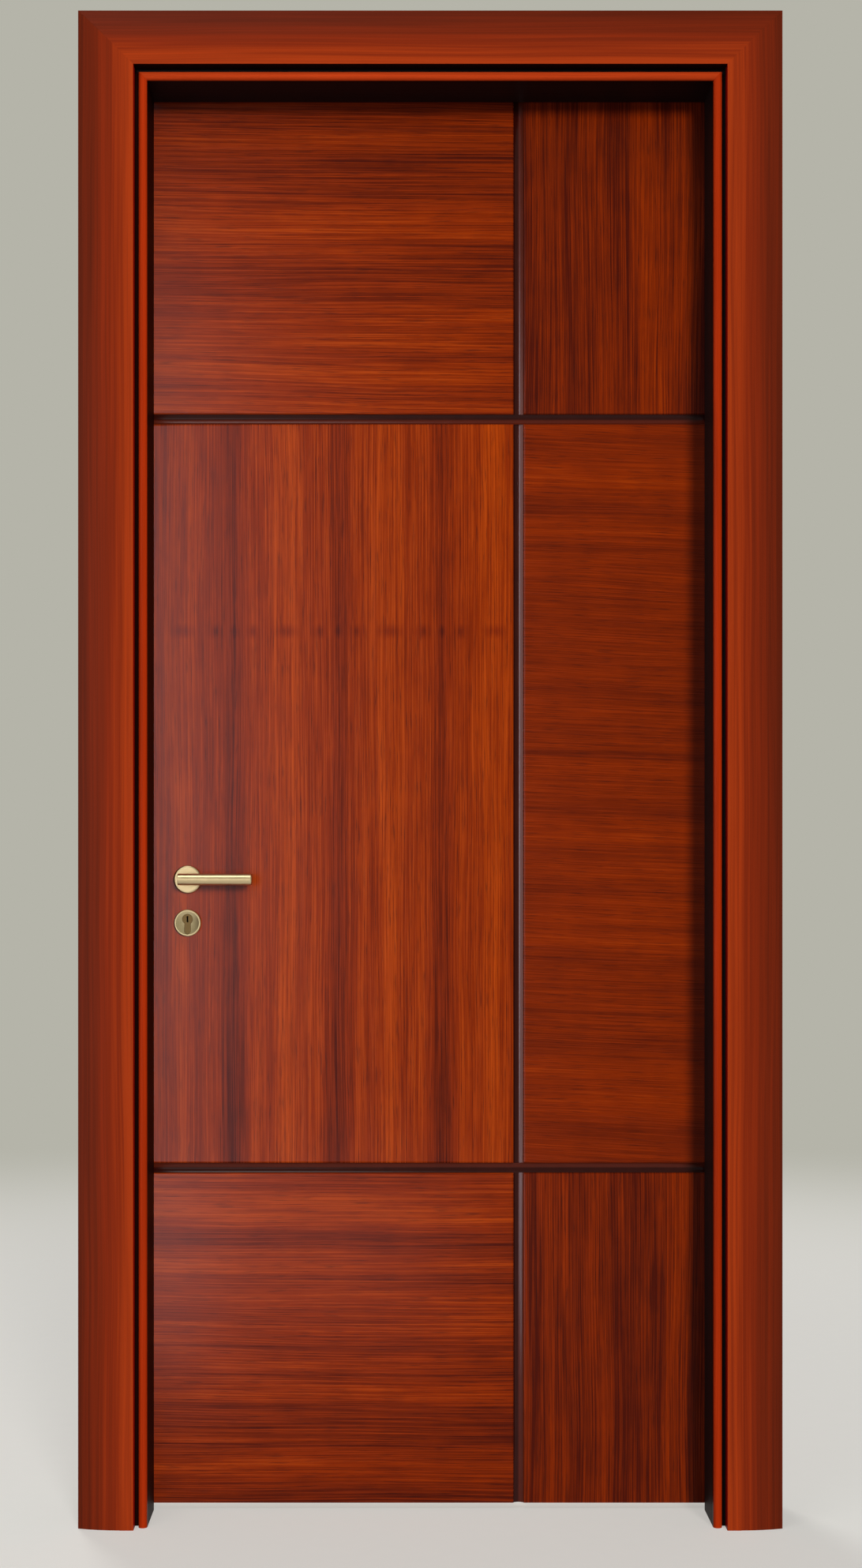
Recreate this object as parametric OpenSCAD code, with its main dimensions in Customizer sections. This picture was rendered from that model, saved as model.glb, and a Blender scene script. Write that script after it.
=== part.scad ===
/* [Doorway] */
// Clear width between the jambs
clear_w = 900; // [800:10:1100]
// Clear height from the floor to the head
clear_h = 2300; // [2200:10:2500]
// Depth of the frame, from the crown of its bead to its back edge
frame_depth = 150; // [135:1:220]
// Thickness of the jambs and the head
jamb_t = 40; // [37:1:60]
// Width of the rebate that the leaf closes into
rebate_w = 13; // [11:0.5:15]

/* [Casing] */
// Width of an architrave
architrave_w = 89; // [65:1:120]
// Thickness of an architrave along its inner band
architrave_t = 20; // [17:0.5:26]
// Thickness of an architrave at its outer edge
architrave_edge_t = 9; // [6:0.5:12]
// Width of the flat band along the inner edge of an architrave
band_w = 22; // [15:1:30]
// Height of the step where the band ends and the sweep begins
band_step = 0.8; // [0.4:0.1:1.5]
// Width of the half-round bead round the opening
bead_w = 14; // [11:0.5:15]
// Depth of the bead, from its crown to the jamb behind it
bead_d = 14; // [11:0.5:18]
// Width of the dark groove between the bead and the architrave
quirk_w = 6; // [4:0.5:10]
// Depth of the architrave's seat behind the crown of the bead
seat_d = 8; // [5:0.5:10]
// Radius that eases the edges of the casing, the stops and the lippings
arris_r = 1.5; // [0.8:0.1:2]

/* [Leaf] */
// Thickness of the leaf
leaf_t = 45; // [42:1:55]
// Thickness of the veneered panels on each face
panel_t = 8; // [7:0.5:10]
// Width of the solid lippings on the two long edges
lipping_w = 8; // [6:0.5:12]
// Gap between the leaf's edges and the rebate
side_gap = 3; // [2.5:0.1:4]
// Gap between the leaf and the stop, which the seal fills
stop_gap = 3; // [2.5:0.1:4]
// Height of the leaf's lower edge above the floor
undercut = 10; // [5:1:20]
// Distance of the upright groove from the middle of the leaf
groove_x = 146; // [80:1:250]
// Height of the upper groove above the floor
groove_upper_z = 1783; // [1600:1:1950]
// Height of the lower groove above the floor
groove_lower_z = 558; // [400:1:700]
// Width of the grooves between the panels
groove_w = 16; // [12:0.5:22]
// Radius that softens the panels along the grooves
panel_edge_r = 3; // [1.5:0.1:3]
// Radius that eases the panels round the leaf's outline
panel_arris_r = 0.8; // [0.4:0.1:1.2]
// Height of a groove strip along its sides
strip_edge_h = 5; // [4:0.1:5.5]
// Thickness of a groove strip under the middle of its cove
strip_base_h = 2; // [1.5:0.1:2.5]
// Width of the flat land on each side of the cove
strip_land = 0.5; // [0.3:0.1:1]

/* [Seal] */
// Width of the seal's bulb
seal_w = 8; // [6:0.5:8]
// Space between the seal and the closed leaf
seal_clear = 0.3; // [0.2:0.1:0.6]
// Width of the kerf that holds the seal
kerf_w = 2.6; // [2:0.1:3]
// Depth of the kerf that holds the seal
kerf_d = 5; // [4:0.5:7]
// Space round the seal's barb in its kerf
kerf_clear = 0.1; // [0.05:0.05:0.2]

/* [Hinges] */
// Height of a hinge
hinge_h = 100; // [80:1:120]
// Distance of the outer hinges' middles from the ends of the leaf
hinge_inset = 240; // [180:5:300]
// Width of a hinge plate
hinge_plate_w = 30; // [24:1:34]
// Thickness of a hinge plate
hinge_plate_t = 2.5; // [2:0.1:3]
// Radius of the hinge knuckles
knuckle_r = 6.5; // [5.5:0.1:6.8]
// Radius of a hinge pin
pin_r = 3.2; // [2.5:0.1:4]
// Running clearance round a hinge pin
pin_clear = 0.05; // [0.02:0.01:0.09]
// Space between neighbouring knuckles
knuckle_gap = 0.5; // [0.4:0.1:1]
// Height of the button on each end of a hinge pin
pin_button_h = 3; // [2:0.5:5]
// Distance of the hinge axis behind the back of the leaf
hinge_stand = 7; // [7:0.1:9]
// Radius of the screw holes in the hinge plates
hinge_hole_r = 2.4; // [2:0.1:3]
// Radius of the screw holes' countersinks
hinge_sink_r = 4.4; // [3.5:0.1:5]
// Distance between neighbouring screw holes along a hinge
hinge_hole_pitch = 33; // [25:0.5:34]
// Distance of the two outer screw holes from the back of the leaf
hinge_hole_back = 12; // [10:0.5:14]
// Distance of the middle screw hole from the far edge of its plate
hinge_hole_edge = 9; // [7:0.5:11]

/* [Lock] */
// Distance from the leaf's edge to the lever's axis
backset = 65; // [60:1:75]
// Height of the lever's axis above the floor
lever_z = 1030; // [950:5:1100]
// Distance from the lever's axis down to the key's axis
lever_to_key = 65; // [65:1:75]
// Length of the forend and the strike plate
forend_h = 235; // [225:1:260]
// Width of the forend and the strike plate
forend_w = 22; // [20:0.5:24]
// Thickness of the forend and the strike plate
forend_t = 3; // [2.5:0.1:3.5]
// Thickness of the lock case
case_t = 15; // [15:0.5:17]
// Depth of the lock case beyond the lever's axis
case_beyond = 29; // [29:1:34]
// Height of the lock case above the lever's axis
case_above = 45; // [36:1:50]
// Height of the lock case below the key's axis
case_below = 60; // [45:1:65]
// Wall of the lock case
case_wall = 1.5; // [1:0.1:1.5]
// Space round the lock case in its mortice
case_clear = 0.3; // [0.2:0.1:0.5]
// Space round the bolts in the forend
bolt_clear = 0.3; // [0.2:0.1:0.4]
// Thickness of the latch and the dead bolt
bolt_t = 12; // [10:0.1:12]
// Height of the latch's head
latch_h = 16; // [14:0.5:18]
// Projection of the latch from the leaf's edge
latch_out = 12; // [10:0.5:12]
// Thickness of the latch at its bevelled tip
latch_tip_t = 3; // [2:0.1:4]
// Height of the dead bolt
dead_bolt_h = 22; // [18:0.5:22]
// Length of the dead bolt
dead_bolt_l = 48; // [45:0.5:52]
// Throw of the dead bolt
dead_bolt_throw = 20; // [15:0.5:20]
// Space between the key's cam circle and the dead bolt
dead_bolt_lift = 2; // [1:0.1:2.5]
// Space round the bolts in the strike plate
strike_clear = 2; // [1.5:0.1:3]
// Radius of the screw holes in the forend and the strike plate
plate_hole_r = 2.4; // [2:0.1:3]
// Radius of those screw holes' countersinks
plate_sink_r = 4.4; // [3.5:0.1:5]
// Distance of the screw holes from the ends of the plates
plate_hole_inset = 10; // [8:0.5:12]

/* [Follower] */
// Side of the square spindle
spindle_w = 8; // [7:0.1:9]
// Space round the spindle in the follower and the levers
spindle_clear = 0.05; // [0.02:0.01:0.1]
// Radius of the follower's hub
hub_r = 10; // [9:0.1:10.5]
// Running clearance of the follower in the lock case
hub_clear = 0.05; // [0.02:0.01:0.09]
// Space round the follower's hub in the core and the panels
bore_clear = 1; // [0.5:0.1:2]
// Length of the follower's arm from its axis
arm_l = 20; // [18:0.1:20]
// Width of the follower's arm
arm_w = 6; // [5:0.1:6]
// Thickness of the follower's arm and the latch's tail
arm_t = 5; // [4:0.1:6]
// Space between the follower's arm and the latch's hook at rest
arm_gap = 1.2; // [1:0.1:1.5]
// Height of the latch's tail
tail_h = 6; // [5:0.1:7]
// Width of the hook on the latch's tail
hook_w = 5; // [4:0.1:6]
// Width of the web between the latch's head and its tail
web_w = 6; // [5:0.1:8]
// Distance of the web behind the forend
web_inset = 8; // [7:0.1:10]

/* [Key cylinder] */
// Radius of the round top of the cylinder's profile
key_top_r = 8.5; // [8:0.1:9]
// Width of the stem of the cylinder's profile
key_stem_w = 10; // [9:0.1:10.5]
// Height of the whole profile
key_profile_h = 33; // [31:0.1:34]
// Projection of the cylinder from the leaf's faces
key_out = 6; // [4:0.1:7]
// Radius of the turning plug
plug_r = 6.5; // [6:0.1:6.8]
// Running clearance of the plug
plug_clear = 0.05; // [0.02:0.01:0.09]
// Reach of the cam from the key's axis
cam_r = 15; // [13:0.1:15]
// Width of the cam along the key's axis
cam_w = 9.8; // [8:0.1:10]
// Width of the cam's arm
cam_arm_w = 8.5; // [7:0.1:9]
// Depth of the cam's hub inside the outline of the cylinder's round top
cam_hub_inset = 0.2; // [0.1:0.1:0.5]
// Space round the cam in the cylinder
cam_clear = 0.4; // [0.3:0.1:0.6]
// Width of the keyway
keyway_w = 2.8; // [1.8:0.1:3]
// Height of the keyway
keyway_h = 10; // [7:0.1:10.5]
// Depth of the keyway from each face
keyway_d = 22; // [18:0.5:22]
// Space round the cylinder in the panels, the case and the escutcheons
key_clear = 0.3; // [0.2:0.1:0.5]

/* [Handle] */
// Diameter of the lever's round bar
lever_d = 19; // [16:0.5:20]
// Reach of the lever from its axis to its end
lever_reach = 108.5; // [95:0.5:130]
// Reach of the lever's short end beyond its axis
lever_tail = 11.5; // [10:0.5:15]
// Distance of the lever's bar from the face of the leaf
lever_stand = 50; // [45:0.5:60]
// Radius that eases the long end of the lever
lever_end_r = 2.5; // [1:0.1:4]
// Radius that eases the short end of the lever
lever_tail_r = 0.8; // [0.4:0.1:1.5]
// Depth of the lever's neck inside the outline of its bar
neck_inset = 1; // [0.5:0.1:1.5]
// Space between the lever's foot and the leaf
lever_foot = 0.3; // [0.3:0.1:1]
// Depth of the spindle in each lever
spindle_depth = 18; // [15:0.5:22]
// Diameter of a rose
rose_d = 46; // [42:0.5:52]
// Thickness of a rose
rose_t = 9; // [7:0.1:10]
// Radius of the rose's front edge
rose_edge_r = 3; // [1.5:0.1:4]
// Running clearance of the lever in its rose
rose_clear = 0.08; // [0.03:0.01:0.1]
// Diameter of an escutcheon
escutcheon_d = 44; // [43:0.5:52]
// Thickness of an escutcheon at its rim
escutcheon_t = 8; // [7:0.1:9]
// Width of the escutcheon's raised rim
escutcheon_rim = 3; // [2:0.1:4]
// Depth of the escutcheon's dished face
escutcheon_dish = 3; // [2:0.1:3.5]
// Distance of the escutcheon's middle below the key's axis
escutcheon_drop = 6; // [5:0.1:7]

/* [Wall fixings] */
// Radius of the fixing holes through the jambs
fixing_r = 5; // [3:0.1:6]
// Radius of the fixing holes' countersinks
fixing_sink_r = 9; // [7:0.1:10]
// Distance between the outer pair of fixing holes in a jamb
fixing_outer = 1420; // [1300:10:1500]
// Distance between the inner pair of fixing holes in a jamb
fixing_inner = 720; // [600:10:800]

/* [Hidden] */
$fn = 48;
sweep_fn = 240;
knuckles = 5;
cut = 1;

architrave_wood = "#842c12";
bead_wood = "#a83a12";
lining_wood = "#2a0d06";
panel_veneer = "#7a2a0e";
core_wood = "#a8764a";
lipping_wood = "#6a240e";
dark_bronze = "#352a28";
satin_brass = "#c8b477";
bright_steel = "#b9bcc0";
case_steel = "#8d9096";
seal_rubber = "#17120f";

u_architrave = bead_w + quirk_w;
u_out = u_architrave + architrave_w;
lap = rebate_w - side_gap;
leaf_x = clear_w / 2 + lap;
leaf_z0 = undercut;
leaf_z1 = clear_h + lap;
panel_x = leaf_x - lipping_w;
core_t = leaf_t - 2 * panel_t;

lever_out = lever_stand + lever_d / 2;
neck_r = lever_d / 2 - neck_inset;
overall_d = architrave_t - seat_d + frame_depth + max(lever_out, architrave_t);
crown_y = architrave_t - seat_d - overall_d / 2;
seat_y = crown_y + seat_d;
jamb_front_y = crown_y + bead_d;
back_y = crown_y + frame_depth;
leaf_y = back_y - leaf_t / 2;
stop_y = back_y - leaf_t - stop_gap;

seal_u = lap - seal_w / 2;
bulb_h = stop_gap - seal_clear;
bulb_r = (pow(seal_w / 2, 2) + pow(bulb_h, 2)) / (2 * bulb_h);

hinge_x = clear_w / 2 + (lap + rebate_w) / 2;
hinge_y = back_y + hinge_stand;
leaf_mid_z = (leaf_z0 + leaf_z1) / 2;
hinge_heights = [leaf_z1 - hinge_inset, leaf_mid_z, leaf_z0 + hinge_inset];
knuckle_h = hinge_h / knuckles;

lever_x = -(leaf_x - backset);
key_z = lever_z - lever_to_key;
case_z0 = key_z - case_below;
case_z1 = lever_z + case_above;
lock_mid_z = (case_z0 + case_z1) / 2;
case_x0 = -leaf_x + forend_t;
case_x1 = lever_x + case_beyond;
dead_bolt_z = key_z + cam_r + dead_bolt_lift + dead_bolt_h / 2;
strike_x = -(clear_w / 2 + rebate_w);
pocket_x = -(leaf_x + dead_bolt_throw + strike_clear);
tail_x = lever_x + arm_w / 2 + arm_gap;
tail_z = lever_z + sqrt(pow(arm_l, 2) + pow(arm_w / 2, 2)) + arm_gap;
web_x = case_x0 + web_inset;
bore_r = hub_r + bore_clear;
key_stem_drop = key_profile_h - key_top_r - key_stem_w / 2;
key_l = leaf_t + 2 * key_out;
cam_hub_r = key_top_r - cam_hub_inset;

// Waste round an outside corner of radius r: the corner is at the origin and points along +x and +y
module corner_waste(r) {
    difference() {
        translate([-r, -r]) square(r + cut);
        translate([-r, -r]) circle(r);
    }
}

// Extrudes an outline drawn in x and z along the depth, both ways from the middle
module along_y(length) {
    rotate([90, 0, 0]) linear_extrude(height = length, center = true) children();
}

// Runs a section up one side of the doorway and mitres its top; x of the section is the distance outwards
module upright_run(side) {
    inner = clear_w / 2 - cut;
    outer = clear_w / 2 + u_out + cut;
    mirror([side == "left" ? 1 : 0, 0, 0])
        intersection() {
            translate([clear_w / 2, 0, 0]) linear_extrude(height = clear_h + u_out) children();
            along_y(3 * overall_d) polygon([
                [inner, -cut],
                [outer, -cut],
                [outer, clear_h + u_out + cut],
                [inner, clear_h - cut]
            ]);
        }
}

// Runs the same section over the doorway and mitres both ends
module head_run() {
    inner = clear_w / 2 - cut;
    outer = clear_w / 2 + u_out + cut;
    intersection() {
        translate([0, 0, clear_h])
            rotate([0, -90, 0])
                linear_extrude(height = clear_w + 2 * u_out, center = true) children();
        along_y(3 * overall_d) polygon([
            [-inner, clear_h - cut],
            [inner, clear_h - cut],
            [outer, clear_h + u_out + cut],
            [-outer, clear_h + u_out + cut]
        ]);
    }
}

// Runs a section along one part of the frame: "left", "right" or "head"
module frame_run(place) {
    if (place == "head") head_run() children();
    else upright_run(place) children();
}

// Jamb: seat for the architrave in front, stop in the middle, rebate for the leaf at the back
module jamb_section() {
    difference() {
        union() {
            translate([0, jamb_front_y]) square([jamb_t, back_y - jamb_front_y]);
            translate([u_architrave, seat_y]) square([jamb_t - u_architrave, back_y - seat_y]);
        }
        translate([-cut, stop_y]) square([rebate_w + cut, leaf_t + stop_gap + cut]);
        translate([0, stop_y]) mirror([1, 0]) corner_waste(arris_r);
        translate([seal_u - kerf_w / 2, stop_y - kerf_d]) square([kerf_w, kerf_d + cut]);
    }
}

module bead_section() {
    r = bead_w / 2;
    translate([r, crown_y + r]) circle(r);
    translate([0, crown_y + r]) square([bead_w, bead_d - r]);
}

// Architrave on its seat at y = 0: flat inner band, small step, then a crowned sweep to the outer edge
module architrave_section() {
    sweep_w = architrave_w - band_w;
    sweep_drop = architrave_t - band_step - architrave_edge_t;
    sweep_r = (pow(sweep_w, 2) + pow(sweep_drop, 2)) / (2 * sweep_drop);
    difference() {
        intersection() {
            translate([u_architrave, 0]) square([architrave_w, architrave_t]);
            union() {
                translate([u_architrave - cut, -cut]) square([band_w + cut, architrave_t + 2 * cut]);
                translate([u_architrave + band_w, architrave_t - band_step - sweep_r])
                    circle(sweep_r, $fn = sweep_fn);
            }
        }
        translate([u_architrave, architrave_t]) mirror([1, 0]) corner_waste(arris_r);
    }
}

// Seal: a barb in the kerf under a low round bulb
module seal_section() {
    barb_w = kerf_w - 2 * kerf_clear;
    translate([seal_u - barb_w / 2, stop_y - kerf_d + kerf_clear]) square([barb_w, kerf_d]);
    intersection() {
        translate([seal_u - seal_w / 2, stop_y]) square([seal_w, bulb_h]);
        translate([seal_u, stop_y + bulb_h - bulb_r]) circle(bulb_r);
    }
}

// Countersunk hole along +x that opens at the origin towards -x
module sunk_hole_x(r, sink_r, length) {
    rotate([0, 90, 0]) {
        translate([0, 0, -cut]) cylinder(r = r, h = length + cut);
        cylinder(r1 = sink_r, r2 = r, h = sink_r - r);
    }
}

module fixing_holes(side) {
    mirror([side == "left" ? 1 : 0, 0, 0])
        for (span = [fixing_outer, fixing_inner], end = [-1, 1])
            translate([clear_w / 2 + rebate_w, leaf_y, leaf_mid_z + end * span / 2])
                sunk_hole_x(fixing_r, fixing_sink_r, jamb_t);
}

// Room for a bolt of height h, widened by a space all round, from x0 to x1
module bolt_room(x0, x1, z, h, space) {
    translate([x0, leaf_y - bolt_t / 2 - space, z - h / 2 - space])
        cube([x1 - x0, bolt_t + 2 * space, h + 2 * space]);
}

module both_bolt_rooms(x0, x1, space) {
    bolt_room(x0, x1, lever_z, latch_h, space);
    bolt_room(x0, x1, dead_bolt_z, dead_bolt_h, space);
}

module edge_plate(x) {
    translate([x, leaf_y - forend_w / 2, lock_mid_z - forend_h / 2]) cube([forend_t, forend_w, forend_h]);
}

module lock_jamb() {
    color(lining_wood) difference() {
        frame_run("left") jamb_section();
        edge_plate(strike_x - forend_t);
        both_bolt_rooms(pocket_x, strike_x, strike_clear);
        fixing_holes("left");
    }
}

module hinge_jamb() {
    color(lining_wood) difference() {
        frame_run("right") jamb_section();
        for (z = hinge_heights) hinge_flap(clear_w / 2 + rebate_w, z);
        fixing_holes("right");
    }
}

module head_jamb() {
    color(lining_wood) frame_run("head") jamb_section();
}

module bead(place) {
    color(bead_wood) frame_run(place) bead_section();
}

module front_architrave(place) {
    color(architrave_wood) frame_run(place) translate([0, seat_y]) mirror([0, 1]) architrave_section();
}

module back_architrave(place) {
    color(architrave_wood) frame_run(place) translate([0, back_y]) architrave_section();
}

module seal(place) {
    color(seal_rubber) frame_run(place) seal_section();
}

// Screw holes near both ends of a plate, sunk into its open side at x
module plate_holes(x, open_side) {
    for (end = [-1, 1])
        translate([x, leaf_y, lock_mid_z + end * (forend_h / 2 - plate_hole_inset)])
            mirror([open_side > 0 ? 1 : 0, 0, 0])
                sunk_hole_x(plate_hole_r, plate_sink_r, forend_t + cut);
}

module strike_plate() {
    color(bright_steel) difference() {
        edge_plate(strike_x - forend_t);
        both_bolt_rooms(strike_x - forend_t - cut, strike_x + cut, strike_clear);
        plate_holes(strike_x, 1);
    }
}

// Flat part of a hinge plate, whose pin side is at the back of the leaf
module hinge_flap(x, z) {
    translate([x, back_y - hinge_plate_w, z - hinge_h / 2]) cube([hinge_plate_t, hinge_plate_w, hinge_h]);
}

// One half of a hinge: its flap at x, its knuckles from the first, and screw holes sunk on the open side
module hinge_half(x, z, first, open_side) {
    z0 = z - hinge_h / 2;
    color(bright_steel) difference() {
        union() {
            hinge_flap(x, z);
            for (i = [first : 2 : knuckles - 1])
                translate([0, 0, z0 + i * knuckle_h + knuckle_gap / 2]) {
                    translate([hinge_x, hinge_y, 0]) cylinder(r = knuckle_r, h = knuckle_h - knuckle_gap);
                    translate([x, back_y - hinge_plate_w / 2, 0])
                        cube([hinge_plate_t, hinge_plate_w / 2 + hinge_stand, knuckle_h - knuckle_gap]);
                }
        }
        translate([hinge_x, hinge_y, z0 - cut]) cylinder(r = pin_r + pin_clear, h = hinge_h + 2 * cut);
        for (row = [-1, 0, 1])
            translate([
                x + (open_side > 0 ? hinge_plate_t : 0),
                back_y - (row == 0 ? hinge_plate_w - hinge_hole_edge : hinge_hole_back),
                z + row * hinge_hole_pitch
            ])
                mirror([open_side > 0 ? 1 : 0, 0, 0])
                    sunk_hole_x(hinge_hole_r, hinge_sink_r, hinge_plate_t + cut);
    }
}

module hinge_frame_plate(place) {
    hinge_half(clear_w / 2 + rebate_w, hinge_heights[place], 0, -1);
}

module hinge_leaf_plate(place) {
    hinge_half(leaf_x - hinge_plate_t, hinge_heights[place], 1, 1);
}

module hinge_pins() {
    button_r = (pin_r + knuckle_r) / 2;
    color(bright_steel) for (z = hinge_heights)
        translate([hinge_x, hinge_y, z]) {
            cylinder(r = pin_r, h = hinge_h, center = true);
            translate([0, 0, hinge_h / 2]) cylinder(r = button_r, h = pin_button_h);
            translate([0, 0, -hinge_h / 2 - pin_button_h]) cylinder(r = button_r, h = pin_button_h);
        }
}

// Places what is drawn about the leaf's middle plane; the front face is the back face mirrored
module on_leaf(face = "back") {
    translate([0, leaf_y, 0]) mirror([0, face == "front" ? 1 : 0, 0]) children();
}

module key_profile(grow) {
    circle(key_top_r + grow);
    translate([-key_stem_w / 2 - grow, -key_stem_drop]) square([key_stem_w + 2 * grow, key_stem_drop]);
    translate([0, -key_stem_drop]) circle(key_stem_w / 2 + grow);
}

module key_hole() {
    translate([lever_x, 0, key_z]) along_y(2 * leaf_t) key_profile(key_clear);
}

module turned_bore(x, z, r) {
    translate([x, 0, z]) along_y(2 * leaf_t) circle(r);
}

module leaf_bores() {
    turned_bore(lever_x, lever_z, bore_r);
    key_hole();
}

// Block of the lock case; as a mortice it is grown by a space and runs on into the forend's recess
module lock_block(grow) {
    translate([case_x0 - cut * sign(grow), -case_t / 2 - grow, case_z0 - grow])
        cube([case_x1 - case_x0 + cut * sign(grow) + grow, case_t + 2 * grow, case_z1 - case_z0 + 2 * grow]);
}

module leaf_core() {
    color(core_wood) on_leaf() difference() {
        translate([-panel_x, -core_t / 2, leaf_z0]) cube([2 * panel_x, core_t, leaf_z1 - leaf_z0]);
        lock_block(case_clear);
        leaf_bores();
    }
}

// Solid strip along a long edge of the leaf, with its two outer corners eased
module lipping_strip() {
    translate([panel_x, 0, leaf_z0]) linear_extrude(height = leaf_z1 - leaf_z0) difference() {
        translate([0, -leaf_t / 2]) square([lipping_w, leaf_t]);
        translate([lipping_w, leaf_t / 2]) corner_waste(arris_r);
        translate([lipping_w, -leaf_t / 2]) mirror([0, 1]) corner_waste(arris_r);
    }
}

module lock_lipping() {
    color(lipping_wood) difference() {
        on_leaf() difference() {
            mirror([1, 0, 0]) lipping_strip();
            lock_block(case_clear);
        }
        edge_plate(-leaf_x);
    }
}

module hinge_lipping() {
    color(lipping_wood) difference() {
        on_leaf() lipping_strip();
        for (z = hinge_heights) hinge_flap(leaf_x - hinge_plate_t, z);
    }
}

// Section of a panel: length along x, outer face at y = panel_t, one radius for each outer corner
module panel_section(length, r_start, r_end) {
    difference() {
        square([length, panel_t]);
        translate([0, panel_t]) mirror([1, 0]) corner_waste(r_start);
        translate([length, panel_t]) corner_waste(r_end);
    }
}

// Panel between two x and two z limits, soft on the sides that a groove runs along
module panel_block(x_span, z_span, x_radii, z_radii) {
    w = x_span[1] - x_span[0];
    h = z_span[1] - z_span[0];
    translate([x_span[0], core_t / 2, z_span[0]])
        intersection() {
            linear_extrude(height = h) panel_section(w, x_radii[0], x_radii[1]);
            translate([w, 0, 0])
                rotate([0, -90, 0])
                    linear_extrude(height = w) panel_section(h, z_radii[0], z_radii[1]);
        }
}

module face_panel(face, row, column) {
    half = groove_w / 2;
    x_span = column == "wide" ? [-panel_x, groove_x - half] : [groove_x + half, panel_x];
    x_radii = column == "wide" ? [panel_arris_r, panel_edge_r] : [panel_edge_r, panel_arris_r];
    z_span =
        row == "top" ? [groove_upper_z + half, leaf_z1]
        : row == "middle" ? [groove_lower_z + half, groove_upper_z - half]
        : [leaf_z0, groove_lower_z - half];
    z_radii =
        row == "top" ? [panel_edge_r, panel_arris_r]
        : row == "middle" ? [panel_edge_r, panel_edge_r]
        : [panel_arris_r, panel_edge_r];
    color(panel_veneer) on_leaf(face) difference() {
        panel_block(x_span, z_span, x_radii, z_radii);
        if (row == "middle" && column == "wide") leaf_bores();
    }
}

// Section of a groove strip across the groove, with a cove along its middle
module strip_section() {
    cove_half = groove_w / 2 - strip_land;
    cove_d = strip_edge_h - strip_base_h;
    cove_r = (pow(cove_half, 2) + pow(cove_d, 2)) / (2 * cove_d);
    difference() {
        translate([-groove_w / 2, 0]) square([groove_w, strip_edge_h]);
        translate([0, strip_base_h + cove_r]) circle(cove_r, $fn = 2 * $fn);
    }
}

// Where two strips cross, the upright keeps the lower half of the lap and the level one the upper half
module strip_lap(z, from, to) {
    translate([groove_x - groove_w / 2, core_t / 2 + from, z - groove_w / 2])
        cube([groove_w, to - from, groove_w]);
}

module upright_strip(face) {
    color(dark_bronze) on_leaf(face) difference() {
        translate([groove_x, core_t / 2, leaf_z0])
            linear_extrude(height = leaf_z1 - leaf_z0) strip_section();
        for (z = [groove_lower_z, groove_upper_z])
            strip_lap(z, strip_base_h / 2, strip_edge_h + cut);
    }
}

module level_strip(face, z) {
    color(dark_bronze) on_leaf(face) difference() {
        translate([0, core_t / 2, z])
            rotate([0, -90, 0])
                linear_extrude(height = 2 * panel_x, center = true) strip_section();
        strip_lap(z, -cut, strip_base_h / 2);
    }
}

module lock_case() {
    w = case_x1 - case_x0 - case_wall;
    h = case_z1 - case_z0 - 2 * case_wall;
    color(case_steel) on_leaf() difference() {
        lock_block(0);
        translate([case_x0 - cut, -case_t / 2 + case_wall, case_z0 + case_wall])
            cube([w + cut, case_t - 2 * case_wall, h]);
        turned_bore(lever_x, lever_z, hub_r + hub_clear);
        key_hole();
    }
}

// Plate in the leaf's edge, with one more screw hole for the screw that holds the cylinder
module lock_forend() {
    color(bright_steel) difference() {
        edge_plate(-leaf_x);
        both_bolt_rooms(-leaf_x - cut, case_x0 + cut, bolt_clear);
        plate_holes(-leaf_x, -1);
        translate([-leaf_x, leaf_y, key_z - key_stem_drop])
            sunk_hole_x(plate_hole_r, plate_sink_r, forend_t + cut);
    }
}

// Turns with the levers; its arm draws the latch back by the hook on the latch's tail
module lock_follower() {
    side = spindle_w + 2 * spindle_clear;
    color(case_steel) on_leaf() difference() {
        translate([lever_x, 0, lever_z]) {
            along_y(case_t) circle(hub_r);
            translate([-arm_w / 2, -arm_t / 2, 0]) cube([arm_w, arm_t, arm_l]);
        }
        translate([lever_x, 0, lever_z]) cube([side, 2 * case_t, side], center = true);
    }
}

module lever_spindle() {
    l = leaf_t + 2 * (lever_foot + spindle_depth);
    color(case_steel) on_leaf()
        translate([lever_x, 0, lever_z]) cube([spindle_w, l, spindle_w], center = true);
}

// Bevelled head, with a tail that passes over the follower and hooks behind its arm
module latch_bolt() {
    half = bolt_t / 2;
    tip_x = -leaf_x - latch_out;
    top = tail_z + tail_h;
    hook_z = lever_z + hub_r + arm_gap;
    color(bright_steel) on_leaf() {
        translate([0, 0, lever_z - latch_h / 2])
            linear_extrude(height = latch_h) polygon([
                [web_x + web_w, -half],
                [web_x + web_w, half],
                [tip_x, half],
                [tip_x, half - latch_tip_t],
                [-leaf_x, -half]
            ]);
        translate([web_x, -arm_t / 2, lever_z]) cube([web_w, arm_t, top - lever_z]);
        translate([web_x, -arm_t / 2, tail_z]) cube([tail_x + hook_w - web_x, arm_t, tail_h]);
        translate([tail_x, -arm_t / 2, hook_z]) cube([hook_w, arm_t, top - hook_z]);
    }
}

module dead_bolt() {
    color(bright_steel) on_leaf()
        translate([-leaf_x, -bolt_t / 2, dead_bolt_z - dead_bolt_h / 2])
            cube([dead_bolt_l, bolt_t, dead_bolt_h]);
}

// Profile cylinder: bored for the plug, and open round the cam down to the bridge of its stem
module cylinder_body() {
    gap_w = cam_w + 2 * cam_clear;
    gap_r = cam_r + cam_clear;
    color(satin_brass) on_leaf() translate([lever_x, 0, key_z]) difference() {
        along_y(key_l) key_profile(0);
        along_y(2 * key_l) circle(plug_r + plug_clear);
        along_y(gap_w) circle(gap_r);
    }
}

module cylinder_plug() {
    color(satin_brass) on_leaf() translate([lever_x, 0, key_z]) difference() {
        along_y(key_l) circle(plug_r);
        for (end = [-1, 1])
            translate([0, end * (key_l + cut - keyway_d) / 2, 0])
                cube([keyway_w, keyway_d + cut, keyway_h], center = true);
    }
}

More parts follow.
